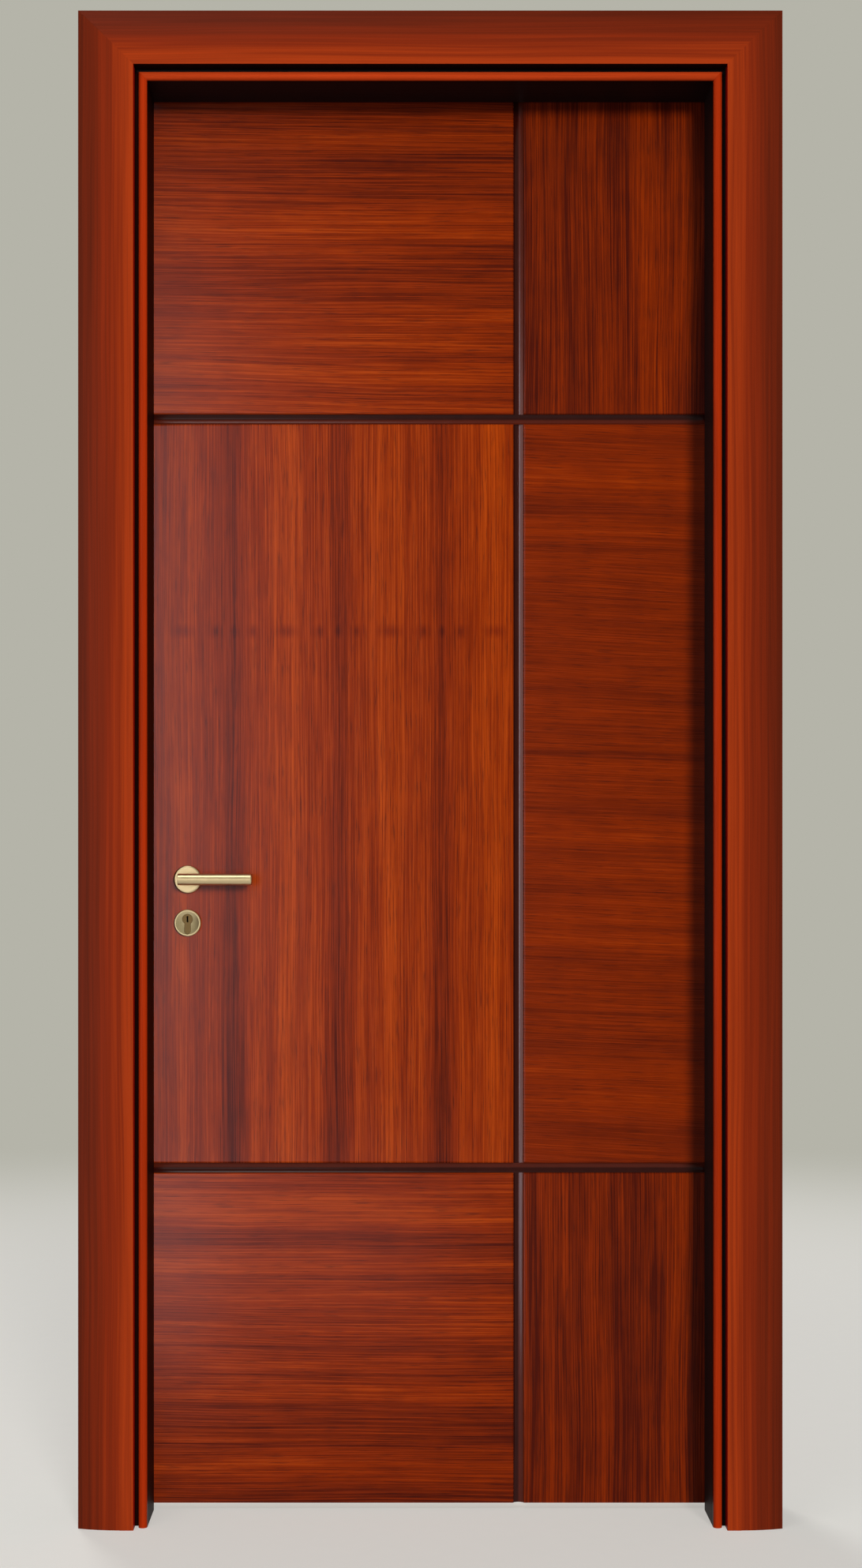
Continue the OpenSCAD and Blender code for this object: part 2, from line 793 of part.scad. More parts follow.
// Ring on the plug with one arm, which sweeps below the dead bolt
module cylinder_cam() {
    color(case_steel) on_leaf() translate([lever_x, 0, key_z]) difference() {
        along_y(cam_w) {
            circle(cam_hub_r);
            intersection() {
                translate([-cam_arm_w / 2, -cam_r]) square([cam_arm_w, cam_r]);
                circle(cam_r);
            }
        }
        along_y(2 * cam_w) circle(plug_r);
    }
}

// Turns a half section about the axis of the handle; y of the section is the height above the leaf
module turned_on_leaf(z) {
    translate([lever_x, leaf_t / 2, z]) rotate([-90, 0, 0]) rotate_extrude() children();
}

module rose(face) {
    inner = neck_r + rose_clear;
    color(satin_brass) on_leaf(face) turned_on_leaf(lever_z) difference() {
        translate([inner, 0]) square([rose_d / 2 - inner, rose_t]);
        translate([rose_d / 2, rose_t]) corner_waste(rose_edge_r);
    }
}

// Round plate with a raised rim, a dished face and the outline of the cylinder cut through it
module escutcheon(face) {
    r = escutcheon_d / 2;
    dish_w = r - escutcheon_rim;
    dish_r = (pow(dish_w, 2) + pow(escutcheon_dish, 2)) / (2 * escutcheon_dish);
    color(satin_brass) on_leaf(face) difference() {
        turned_on_leaf(key_z - escutcheon_drop) difference() {
            square([r, escutcheon_t]);
            translate([0, escutcheon_t - escutcheon_dish + dish_r]) circle(dish_r, $fn = sweep_fn);
            translate([r, escutcheon_t]) corner_waste(arris_r);
        }
        key_hole();
    }
}

// Straight round bar across the end of a neck, which comes out of the rose and takes the spindle
module lever(face) {
    r = lever_d / 2;
    bar_l = lever_reach + lever_tail;
    foot_y = leaf_t / 2 + lever_foot;
    side = spindle_w + 2 * spindle_clear;
    color(satin_brass) on_leaf(face) translate([lever_x, 0, lever_z]) difference() {
        union() {
            translate([0, foot_y, 0]) rotate([-90, 0, 0]) cylinder(r = neck_r, h = lever_stand - lever_foot);
            translate([-lever_tail, leaf_t / 2 + lever_stand, 0])
                rotate([0, 90, 0])
                    rotate_extrude() difference() {
                        square([r, bar_l]);
                        translate([r, 0]) mirror([0, 1]) corner_waste(lever_tail_r);
                        translate([r, bar_l]) corner_waste(lever_end_r);
                    }
        }
        translate([-side / 2, foot_y - cut, -side / 2]) cube([side, spindle_depth + cut, side]);
    }
}

lock_jamb();
hinge_jamb();
head_jamb();
bead("left");  // lock_bead
bead("right");  // hinge_bead
bead("head");  // head_bead
front_architrave("left");  // front_architrave_left
front_architrave("right");  // front_architrave_right
front_architrave("head");  // front_architrave_head
back_architrave("left");  // back_architrave_left
back_architrave("right");  // back_architrave_right
back_architrave("head");  // back_architrave_head
seal("left");  // lock_seal
seal("right");  // hinge_seal
seal("head");  // head_seal
strike_plate();
hinge_frame_plate(0);  // hinge_frame_plate_top
hinge_frame_plate(1);  // hinge_frame_plate_middle
hinge_frame_plate(2);  // hinge_frame_plate_bottom
hinge_pins();
leaf_core();
lock_lipping();
hinge_lipping();
face_panel("front", "top", "wide");  // front_panel_top_wide
face_panel("front", "top", "narrow");  // front_panel_top_narrow
face_panel("front", "middle", "wide");  // front_panel_middle_wide
face_panel("front", "middle", "narrow");  // front_panel_middle_narrow
face_panel("front", "bottom", "wide");  // front_panel_bottom_wide
face_panel("front", "bottom", "narrow");  // front_panel_bottom_narrow
face_panel("back", "top", "wide");  // back_panel_top_wide
face_panel("back", "top", "narrow");  // back_panel_top_narrow
face_panel("back", "middle", "wide");  // back_panel_middle_wide
face_panel("back", "middle", "narrow");  // back_panel_middle_narrow
face_panel("back", "bottom", "wide");  // back_panel_bottom_wide
face_panel("back", "bottom", "narrow");  // back_panel_bottom_narrow
upright_strip("front");  // front_strip_upright
level_strip("front", groove_upper_z);  // front_strip_upper
level_strip("front", groove_lower_z);  // front_strip_lower
upright_strip("back");  // back_strip_upright
level_strip("back", groove_upper_z);  // back_strip_upper
level_strip("back", groove_lower_z);  // back_strip_lower
hinge_leaf_plate(0);  // hinge_leaf_plate_top
hinge_leaf_plate(1);  // hinge_leaf_plate_middle
hinge_leaf_plate(2);  // hinge_leaf_plate_bottom
lock_case();
lock_forend();
cylinder_body();
rose("front");  // rose_outside
rose("back");  // rose_inside
escutcheon("front");  // escutcheon_outside
escutcheon("back");  // escutcheon_inside
lever("front");  // lever_outside
lever("back");  // lever_inside
lever_spindle();
lock_follower();
latch_bolt();
dead_bolt();
cylinder_plug();
cylinder_cam();
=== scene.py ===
"""Dresses a panelled front door in its frame: veneer, stained casing, brass handle, steel lock and hinges."""
import math

import bpy
from bpy.props import FloatProperty, FloatVectorProperty, PointerProperty
from mathutils import Matrix, Vector


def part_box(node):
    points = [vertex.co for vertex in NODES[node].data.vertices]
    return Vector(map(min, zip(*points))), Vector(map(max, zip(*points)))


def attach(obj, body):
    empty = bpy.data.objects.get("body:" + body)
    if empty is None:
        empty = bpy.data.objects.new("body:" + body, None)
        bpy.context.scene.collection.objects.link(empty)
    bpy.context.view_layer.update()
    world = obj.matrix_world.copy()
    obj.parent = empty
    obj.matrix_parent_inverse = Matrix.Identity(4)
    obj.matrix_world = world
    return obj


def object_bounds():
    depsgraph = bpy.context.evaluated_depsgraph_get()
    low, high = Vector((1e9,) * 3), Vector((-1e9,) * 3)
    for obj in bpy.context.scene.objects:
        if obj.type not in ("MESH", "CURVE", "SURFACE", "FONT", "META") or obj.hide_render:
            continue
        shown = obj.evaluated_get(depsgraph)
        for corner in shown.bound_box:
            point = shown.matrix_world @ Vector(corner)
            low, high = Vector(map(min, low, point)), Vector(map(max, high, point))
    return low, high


bl_info = {
    "name": "Panelled Front Door",
    "version": (1, 0, 0),
    "blender": (4, 5, 0),
    "location": "View3D > Sidebar > Front Door",
    "description": "Veneer, stained wood, brass, bronze and steel for a panelled front door in its frame",
    "category": "Object",
}

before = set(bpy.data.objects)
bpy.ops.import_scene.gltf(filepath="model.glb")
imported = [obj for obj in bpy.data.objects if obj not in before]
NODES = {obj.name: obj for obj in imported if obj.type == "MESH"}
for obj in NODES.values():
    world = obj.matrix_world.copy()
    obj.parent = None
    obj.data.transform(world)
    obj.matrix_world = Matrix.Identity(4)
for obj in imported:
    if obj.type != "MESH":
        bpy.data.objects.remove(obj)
CAD_LOW, CAD_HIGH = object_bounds()

MM = 0.001
HINGES = ("top", "middle", "bottom")

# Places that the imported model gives; the rebate at the hinges is as far out as the strike plate's face
LEAF_EDGE_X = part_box("hinge_lipping")[1].x
LEAF_BACK_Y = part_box("hinge_lipping")[1].y
REBATE_X = -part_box("strike_plate")[1].x
LINING_BACK_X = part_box("hinge_jamb")[1].x
LINING_BACK_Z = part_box("head_jamb")[1].z
CASING_IN_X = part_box("front_architrave_right")[0].x
CASING_OUT_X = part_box("front_architrave_right")[1].x
CASING_IN_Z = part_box("front_architrave_head")[0].z

# How far the grain wanders to the side, and over which distances across and along it
WANDER = 14 * MM
WANDER_ACROSS = 130 * MM
WANDER_ALONG = 520 * MM

# Stretches of a noise that become the whole range from 0 to 1: the narrower they are, the sharper the marks
WHOLE = (0.0, 1.0)
SOFT = (0.3, 0.7)
CLEAR = (0.32, 0.68)
CRISP = (0.34, 0.66)
KNOTTED = (0.48, 0.74)
SPARSE = (0.56, 0.7)

# Marks of the veneer: their lengths along the grain, and their shares in the figure
BAND_L = 1200 * MM
STREAK_L = 600 * MM
LINE_L = 220 * MM
PORE_L = 45 * MM
MOTTLE_W = 26 * MM
MOTTLE_L = 60 * MM
BAND_SHARE = 0.3
STREAK_SHARE = 0.16
MOTTLE_SHARE = 0.08
# How much of the ground a pore covers
PORE_SHARE = 0.5

# Matched leaves of veneer: shares of the light hearts, the dull leaf and the dark knots in the figure
HEART_SHARE = 0.38
DULL_SHARE = -0.08
KNOT_SHARE = -0.24
# What the hearts add to the figure on the whole
HEART_MEAN = 0.264

# Specular levels of lacquered wood, low enough to keep the stain's colour full
WOOD_GLOSS = 0.06
CASING_GLOSS = 0.02

# Depths of the marks that grain and brushing leave in a surface
GRAIN_D = 0.3 * MM
BRUSH_D = 0.05 * MM
# How many times as long as wide a brush mark is
BRUSH_STRETCH = 40

# Sockets of a Mix node that take its two colours, and the one that gives the mixed colour
MIX_A, MIX_B, MIX_OUT = 6, 7, 2

# Rays that see the background and not the light of the studio
SEEN_RAYS = ("Is Camera Ray", "Is Glossy Ray", "Is Transmission Ray")

# The floor keeps its own colour up to the first distance and has the background's from the second
FLOOR_NEAR = 1600 * MM
FLOOR_FAR = 5000 * MM
# Share of the floor near the door that shows its colour without shadow
FLOOR_VEIL = 0.5

# Suns: how far off the key stands and where the back one stands from the door's middle, in metres; spreads
KEY_REACH = 6.0
KEY_SPREAD = math.radians(11)
BACK_PLACE = Vector((-2.5, 6.0, 3.0))
BACK_SPREAD = math.radians(20)

# Soft panels: where each one stands, the point it looks at, its width and its height, in metres
PANELS = {
    "cool_panel": ((-1.25, -3.9, 1.53), (-0.4, 0.0, 1.3), 0.96, 3.02),
    "low_panel": ((-0.45, -1.5, 0.17), (-0.3, 0.0, 0.35), 1.0, 0.3),
    "corner_panel": ((-0.66, -0.7, 0.25), (-0.4, 0.0, 0.3), 0.48, 0.42),
    "front_panel": ((-0.75, -3.9, 1.0), (-0.4, 0.0, 1.0), 0.9, 0.9),
    "side_panel": ((-1.98, -1.49, 1.3), (0.15, 0.0, 1.2), 2.42, 2.4),
    "top_panel": ((-0.9, -1.6, 4.2), (-0.2, 0.0, 1.2), 1.6, 1.2),
}
COOL_PANELS = ("cool_panel", "low_panel", "corner_panel")
# Panels that only show as a sheen and don't light the colours
SHEEN_PANELS = (*COOL_PANELS, "front_panel", "side_panel")
# Nodes that are kept out of the cool panels' light
FLAGGED = (
    "lever_outside",
    "rose_outside",
    "escutcheon_outside",
    "front_strip_upper",
    "front_strip_lower",
    "front_architrave_left",
    "front_architrave_right",
    "front_architrave_head",
    "lock_bead",
    "hinge_bead",
    "head_bead",
    "lock_jamb",
)
# Nodes that the cool panels shine past, so that the sheen reaches the edge of the leaf
PASSED = ("lock_jamb", "lock_bead", "front_architrave_left")

# The photograph's frame and the point in it that the camera looks straight at, in pixels
IMAGE_W, IMAGE_H = 1092, 1986
VANISHING_PX, VANISHING_PY = 500, 1110


def linear(code):
    """Turns an sRGB hex colour into the linear colour that shaders take."""
    channels = [int(code[i : i + 2], 16) / 255 for i in (0, 2, 4)]
    return tuple(c / 12.92 if c <= 0.04045 else ((c + 0.055) / 1.055) ** 2.4 for c in channels)


WHITE = linear("ffffff")


def colour(label, words, code):
    """A colour that a user may change, written as sRGB hex."""
    return FloatVectorProperty(
        name=label, description=words, subtype="COLOR", size=3, min=0.0, max=1.0, default=linear(code)
    )


def length(label, words, millimetres):
    """A length that a user may change, written in millimetres."""
    return FloatProperty(
        name=label, description=words, subtype="DISTANCE", unit="LENGTH", min=0.0, default=millimetres * MM
    )


def angle(label, words, degrees):
    """An angle that a user may change, written in degrees."""
    return FloatProperty(name=label, description=words, subtype="ANGLE", default=math.radians(degrees))


def light_level(label, words, strength):
    """A level of light that a user may change."""
    return FloatProperty(name=label, description=words, min=0.0, default=strength)


class DoorWoods(bpy.types.PropertyGroup):
    """Colours and grain of the woods."""

    veneer_light: colour("Veneer Light", "Orange early wood of the veneer", "a43e02")
    veneer_mid: colour("Veneer Middle", "Red-brown ground of the veneer", "7a2400")
    veneer_dark: colour("Veneer Dark", "Dark late wood of the veneer", "430e03")
    veneer_pore: colour("Veneer Pores", "Filled pores of the veneer", "2c0c06")
    band_w: length("Band Width", "Width of the broad bands across the grain", 42)
    streak_w: length("Streak Width", "Width of the streaks across the grain", 4.5)
    line_w: length("Line Width", "Width of the fine grain lines, drawn as coarse as they need to show", 1.8)
    leaf_half_w: length("Half Leaf Width", "Half the width of a book-matched veneer leaf", 85)
    casing_inner: colour("Casing Inner", "Stain along the inner edge of the architraves", "953310")
    casing_middle: colour("Casing Middle", "Stain along the middle of the architraves", "74240d")
    # Painted shade: the architraves darken from the inner tone to this outer one where the light falls off
    casing_outer_shade: colour("Casing Outer", "Shaded stain along the outer edge of the architraves", "521b0c")
    bead: colour("Bead", "Stain of the bead beside the opening", "a52e0a")
    # Painted light: this bead is drawn lighter than the side beads, for the light that catches it in the head
    bead_head: colour("Bead at the Head", "Stain of the bead over the opening", "b83c14")
    # Painted shade: dark red drawn in the shadow gap beside the bead, on the bead's outer flank and the front
    # architraves' inner edges
    quirk: colour("Quirk", "Stain in the shadow gap beside the bead", "8a1008")
    # Painted shade: the jambs and the head are red-brown wood drawn nearly black, as it shows in deep shadow
    # in the reveals
    lining: colour("Lining", "Dark stain of the jambs and the head", "1a0503")
    raw: colour("Raw Back", "Unstained backs of the jambs and the head", "8f6440")
    lipping: colour("Lipping", "Stain of the leaf's edges", "5c200e")
    core: colour("Core", "Raw board inside the leaf", "b08658")


class DoorMetals(bpy.types.PropertyGroup):
    """Colours and grain of the metals and the seal."""

    brass: colour("Brass", "Satin brass of the handle and the escutcheons", "d8c49a")
    # Painted shade: the cylinder's brass is drawn dark, for the shade it sits in
    cylinder: colour("Cylinder", "Bronzed brass of the key cylinder", "402f1a")
    bronze: colour("Bronze", "Lacquered bronze of the groove strips", "4a1609")
    # Painted shade: the strips are drawn nearly black on the side of the groove where its shadow falls
    bronze_shade: colour("Deep Bronze", "Lacquer on the deeper side of the groove strips", "240402")
    steel: colour("Steel", "Satin steel of the hinges and the bolts", "c4c6c8")
    zinc: colour("Zinc", "Plated steel inside the lock", "a9adb4")
    rubber: colour("Rubber", "Rubber of the seals", "1a1512")
    brush_w: length("Brush Width", "Width of the brush marks, drawn as coarse as they need to show", 0.6)


class DoorScrews(bpy.types.PropertyGroup):
    """Sizes of the screws."""

    head_r: length("Head Radius", "Radius of a screw head at its face", 4.25)
    shank_r: length("Shank Radius", "Radius of the shank under a screw head", 2.3)
    sunk: length("Depth Below Face", "Depth of a screw head below the plate's face", 0.1)
    shank_l: length("Shank Length", "Length of a screw from its face", 2.4)
    slot_w: length("Recess Width", "Width of the arms of the cross recess", 1.1)
    slot_l: length("Recess Length", "Length of the arms of the cross recess", 4.8)
    slot_d: length("Recess Depth", "Depth of the cross recess", 1.2)
    hinge_pitch: length("Hinge Pitch", "Distance between neighbouring screws along a hinge", 33)
    hinge_back: length("Hinge Outer Row", "Distance of a hinge's outer screws from the back of the leaf", 12)
    hinge_deep: length("Hinge Middle Row", "Distance of a hinge's middle screw from the back of the leaf", 21)
    plate_inset: length("Plate Inset", "Distance of the lock's plate screws from the plate's ends", 10)
    cylinder_rise: length("Cylinder Screw", "Height of the cylinder's screw above the cylinder's foot", 5)


class DoorStage(bpy.types.PropertyGroup):
    """Floor, background, lights and camera."""

    floor: colour("Floor", "Pale studio floor", "eeece6")
    background: colour("Background", "Pale studio background", "b5b4a9")
    floor_r: length("Floor Radius", "Radius of the floor", 14000)
    ambient: light_level("Ambient", "Level of the even light from all round", 0.16)
    key: light_level("Key", "Level of the key lamp on a surface that faces it", 0.88)
    key_side: angle("Key Side", "Angle of the key lamp to the right", 14)
    key_up: angle("Key Height", "Angle of the key lamp above the level", 10)
    back: light_level("Back", "Level of the lamp behind the door on a surface that faces it", 0.5)
    sheen: light_level("Sheen", "Radiance of the tall cool panel at the left", 16.5)
    sheen_tint: colour("Sheen Tint", "Colour of the cool panels", "d8eeff")
    side: light_level("Side Sheen", "Radiance of the panel beside the door", 5.0)
    side_tint: colour("Side Tint", "Colour of the panel beside the door", "f2e0de")
    front: light_level("Front Sheen", "Radiance of the panel that the handle mirrors", 1.8)
    low: light_level("Low Sheen", "Radiance of the cool panel near the floor", 5.0)
    corner: light_level("Corner Sheen", "Radiance of the cool panel before the lower left", 6.0)
    top: light_level("Top Light", "Radiance of the panel above", 4.0)
    camera_x: length("Camera Side", "Distance of the camera to the left of the middle", 56.5)
    camera_y: length("Camera Distance", "Distance of the camera in front of the middle of the depth", 3514)
    camera_z: length("Camera Height", "Height of the camera above the floor", 1035)
    lens: FloatProperty(name="Lens", description="Focal length in millimetres", min=1.0, default=49.4)


def add(tree, kind, inputs=None, stops=None, **settings):
    """Adds a shader node with its settings, its colour stops, and its inputs as values or links."""
    made = tree.nodes.new("ShaderNode" + kind)
    for name, value in settings.items():
        setattr(made, name, value)
    for key, value in (inputs or {}).items():
        if isinstance(value, bpy.types.NodeSocket):
            tree.links.new(value, made.inputs[key])
        elif made.inputs[key].type == "RGBA":
            made.inputs[key].default_value = (*value, 1.0)
        else:
            made.inputs[key].default_value = value
    if stops:
        elements = made.color_ramp.elements
        while len(elements) < len(stops):
            elements.new(1.0)
        for element, (position, tone) in zip(elements, stops):
            element.position = position
            element.color = (*tone, 1.0)
    return made


def start_material(name):
    """Starts a material with no nodes."""
    material = bpy.data.materials.new(name)
    material.use_nodes = True
    material.node_tree.nodes.clear()
    return material, material.node_tree


def end_material(tree, inputs):
    """Ends a material with one Principled shader on its output."""
    shader = add(tree, "BsdfPrincipled", inputs)
    add(tree, "OutputMaterial", {"Surface": shader.outputs["BSDF"]})


def object_axes(tree):
    """The place on a piece along x, y and z, in metres."""
    place = add(tree, "TexCoord").outputs["Object"]
    return add(tree, "SeparateXYZ", {0: place}).outputs


def pattern(tree, vector, across, along, stretch, detail=2.0):
    """Noise that is drawn out along the second axis of a vector, as a share from 0 to 1."""
    low, high = stretch
    spread = add(tree, "Mapping", {"Vector": vector, "Scale": (1 / across, 1 / along, 1.0)})
    noise = add(tree, "TexNoise", {"Vector": spread.outputs[0], "Scale": 1.0, "Detail": detail})
    share = add(tree, "MapRange", {"Value": noise.outputs["Fac"], "From Min": low, "From Max": high})
    return share.outputs["Result"]


def total(tree, *shares):
    """Adds values that each have a weight."""
    running = 0.0
    for value, weight in shares:
        running = add(tree, "Math", {0: value, 1: weight, 2: running}, operation="MULTIPLY_ADD").outputs[0]
    return running


def rising(tree, share, start, rise):
    """A value that grows from its start by its rise where a share is full."""
    return total(tree, (share, rise), (1.0, start))


def grain_space(tree, grain, seed, slope=0.0, seams=None, leaf_half_w=1.0, solid=False):
    """Places in metres with x across the grain and y along it; seams fold it into matched veneer leaves.

    A seed tells one board's figure from another's, and solid wood shows its grain on its edges too.
    """
    axes = object_axes(tree)
    across, along = (axes["X"], axes["Z"]) if grain == "upright" else (axes["Z"], axes["X"])
    if solid:
        across = total(tree, (across, 1.0), (axes["Y"], 1.0))
    if seams:
        shifted = total(tree, (across, 1.0), (seams[0], -1.0))
        across = add(tree, "Math", {0: shifted, 1: leaf_half_w}, operation="PINGPONG").outputs[0]
        shifted = total(tree, (along, 1.0), (seams[1], -1.0))
        along = add(tree, "Math", {0: shifted}, operation="ABSOLUTE").outputs[0]
    straight = add(tree, "CombineXYZ", {"X": across, "Y": along, "Z": seed}).outputs[0]
    wander = pattern(tree, straight, WANDER_ACROSS, WANDER_ALONG, WHOLE, detail=1.0)
    across = total(tree, (across, 1.0), (along, slope), (wander, WANDER))
    return add(tree, "CombineXYZ", {"X": across, "Y": along, "Z": seed}).outputs[0], across


# Sawn veneer, dyed red-brown and lacquered: bands and streaks along the grain, filled pores, a soft gloss
def veneer(
    woods, place, grain, seed, tone=0.0, contrast=1.0, fine=0.3, slope=0.0,
    seams=None, dull_x=None, rise_x=0.0, rise_z=0.0,
):
    """Veneer for the fields at one place.

    Tone lightens it, contrast and fine say how strong its bands and lines are, and slope tilts its grain.
    Seams match its leaves, with a duller one left of dull_x. It is lighter by rise_x and rise_z for each
    metre to the right and up: painted shade where the light falls off across the leaf.
    """
    material, tree = start_material("dyed_veneer_" + place)
    space, _ = grain_space(tree, grain, seed, slope)
    pore_w = 0.8 * woods.line_w
    pore_depth = 0.5
    line_height = 0.5
    streaks = pattern(tree, space, woods.streak_w, STREAK_L, CRISP)
    lines = pattern(tree, space, woods.line_w, LINE_L, CRISP)
    pores = pattern(tree, space, pore_w, PORE_L, SPARSE)
    mottle = pattern(tree, space, MOTTLE_W, MOTTLE_L, SOFT)
    shares = [(streaks, STREAK_SHARE * contrast), (lines, fine), (mottle, MOTTLE_SHARE)]
    middle = 0.5 - (fine + MOTTLE_SHARE + (STREAK_SHARE + BAND_SHARE) * contrast) / 2
    if seams:
        space, across = grain_space(tree, grain, seed, slope, seams, woods.leaf_half_w)
        shares += matched_leaves(tree, space, across, woods.leaf_half_w, seams, dull_x)
        middle -= HEART_MEAN
    shares.append((pattern(tree, space, woods.band_w, BAND_L, CRISP), BAND_SHARE * contrast))
    # Painted shade: the field darkens across the leaf where the light falls off, by rise_x and rise_z
    if rise_x or rise_z:
        axes = object_axes(tree)
        low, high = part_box("front_panel_" + place)
        shares += [(axes["Z"], rise_z), (axes["X"], rise_x)]
        middle -= (rise_z * (low.z + high.z) + rise_x * (low.x + high.x)) / 2
    figure = total(tree, *shares, (1.0, middle + tone))
    tones = [(0.1, woods.veneer_dark), (0.5, woods.veneer_mid), (0.9, woods.veneer_light)]
    ground = add(tree, "ValToRGB", {"Fac": figure}, tones).outputs["Color"]
    pore_share = total(tree, (pores, PORE_SHARE))
    filled = add(
        tree, "Mix", {"Factor": pore_share, MIX_A: ground, MIX_B: woods.veneer_pore}, data_type="RGBA"
    )
    height = total(tree, (lines, line_height), (pores, -pore_depth))
    relief = add(tree, "Bump", {"Height": height, "Strength": 0.05, "Distance": GRAIN_D})
    end_material(tree, {
        "Base Color": filled.outputs[MIX_OUT],
        "Roughness": rising(tree, lines, start=0.23, rise=0.06),
        "Normal": relief.outputs["Normal"],
        "Specular IOR Level": WOOD_GLOSS,
    })
    return material


def matched_leaves(tree, space, across, leaf_half_w, seams, dull_x):
    """Shares of the figure for leaves matched at dark seams, end to end as well, with one duller leaf."""
    heart_w = 0.6 * leaf_half_w
    dull_fade = 30 * MM
    end_near, end_far = 2 * MM, 14 * MM
    knot_w, knot_l = 16 * MM, 200 * MM
    axes = object_axes(tree)
    heart = add(tree, "MapRange", {"Value": across, "From Max": heart_w}, interpolation_type="SMOOTHSTEP")
    dull = add(tree, "MapRange", {"Value": axes["X"], "From Min": dull_x, "From Max": dull_x - dull_fade})
    from_end = total(tree, (axes["Z"], 1.0), (seams[1], -1.0))
    from_end = add(tree, "Math", {0: from_end}, operation="ABSOLUTE").outputs[0]
    end_seam = add(tree, "MapRange", {"Value": from_end, "From Min": end_far, "From Max": end_near})
    knots = pattern(tree, space, knot_w, knot_l, KNOTTED)
    end_knots = add(tree, "Math", {0: end_seam.outputs["Result"], 1: knots}, operation="MULTIPLY")
    return [
        (heart.outputs["Result"], HEART_SHARE),
        (dull.outputs["Result"], DULL_SHARE),
        (end_knots.outputs[0], KNOT_SHARE),
    ]


# Straight-grained hardwood under a stain that darkens outwards: the darkening is painted shade where the
# light falls off towards the outer edge
def casing_wood(woods, name, grain, seed, gap_tone):
    """Stain for the architraves, darkening outwards as painted shade, with one tone in the gap along their
    inner edge.
    """
    material, tree = start_material(name)
    space, _ = grain_space(tree, grain, seed)
    # The grain lines are drawn as coarse as they need to show
    line_w, line_l = 2.2 * MM, 300 * MM
    streak_w, streak_l = 7 * MM, 900 * MM
    line_share, streak_share = 0.22, 0.28
    gap_end, stain_start = 0.2 * MM, 0.8 * MM
    axes = object_axes(tree)
    side = add(tree, "Math", {0: axes["X"]}, operation="ABSOLUTE").outputs[0]
    past_side = total(tree, (side, 1.0), (CASING_IN_X, -1.0))
    past_head = total(tree, (axes["Z"], 1.0), (CASING_IN_Z, -1.0))
    outwards = add(tree, "Math", {0: past_side, 1: past_head}, operation="MAXIMUM").outputs[0]
    streaks = pattern(tree, space, streak_w, streak_l, CLEAR)
    lines = pattern(tree, space, line_w, line_l, CLEAR)
    # Painted shade: the stain darkens with the distance outwards from the opening
    shade = total(
        tree,
        (outwards, 1 / (CASING_OUT_X - CASING_IN_X)),
        (streaks, streak_share),
        (lines, line_share),
        (1.0, -(streak_share + line_share) / 2),
    )
    tones = [(0.0, woods.casing_inner), (0.4, woods.casing_middle), (1.0, woods.casing_outer_shade)]
    stain = add(tree, "ValToRGB", {"Fac": shade}, tones).outputs["Color"]
    # Painted shade at the front: the inner edge faces take the gap tone, dark as the gap's shadow; the back
    # ones take their own inner stain
    edge = add(tree, "MapRange", {"Value": outwards, "From Min": gap_end, "From Max": stain_start})
    ground = add(
        tree, "Mix", {"Factor": edge.outputs["Result"], MIX_A: gap_tone, MIX_B: stain}, data_type="RGBA"
    )
    relief = add(tree, "Bump", {"Height": lines, "Strength": 0.06, "Distance": GRAIN_D})
    end_material(tree, {
        "Base Color": ground.outputs[MIX_OUT],
        "Roughness": rising(tree, lines, start=0.34, rise=0.06),
        "Normal": relief.outputs["Normal"],
        "Specular IOR Level": CASING_GLOSS,
    })
    return material


def paint_flank_shade(tree, ground, behind_y, inner, outer_x, outer):
    """Paints shade on a bead behind its round, with one dark tone towards the opening and one in the gap
    beside it.
    """
    fade = 2 * MM
    axes = object_axes(tree)
    side = add(tree, "Math", {0: axes["X"]}, operation="ABSOLUTE").outputs[0]
    in_gap = add(tree, "Math", {0: side, 1: outer_x}, operation="GREATER_THAN").outputs[0]
    flank = add(tree, "Mix", {"Factor": in_gap, MIX_A: inner, MIX_B: outer}, data_type="RGBA")
    behind = add(tree, "MapRange", {"Value": axes["Y"], "From Min": behind_y, "From Max": behind_y + fade})
    inputs = {"Factor": behind.outputs["Result"], MIX_A: ground, MIX_B: flank.outputs[MIX_OUT]}
    return add(tree, "Mix", inputs, data_type="RGBA").outputs[MIX_OUT]


def wall_side(tree):
    """A share that is 1 on the faces of the jambs and the head that meet the wall."""
    skin = 0.5 * MM
    axes = object_axes(tree)
    side = add(tree, "Math", {0: axes["X"]}, operation="ABSOLUTE").outputs[0]
    past_side = add(tree, "Math", {0: side, 1: LINING_BACK_X - skin}, operation="GREATER_THAN")
    past_head = add(tree, "Math", {0: axes["Z"], 1: LINING_BACK_Z - skin}, operation="GREATER_THAN")
    either = {0: past_side.outputs[0], 1: past_head.outputs[0]}
    return add(tree, "Math", either, operation="MAXIMUM").outputs[0]


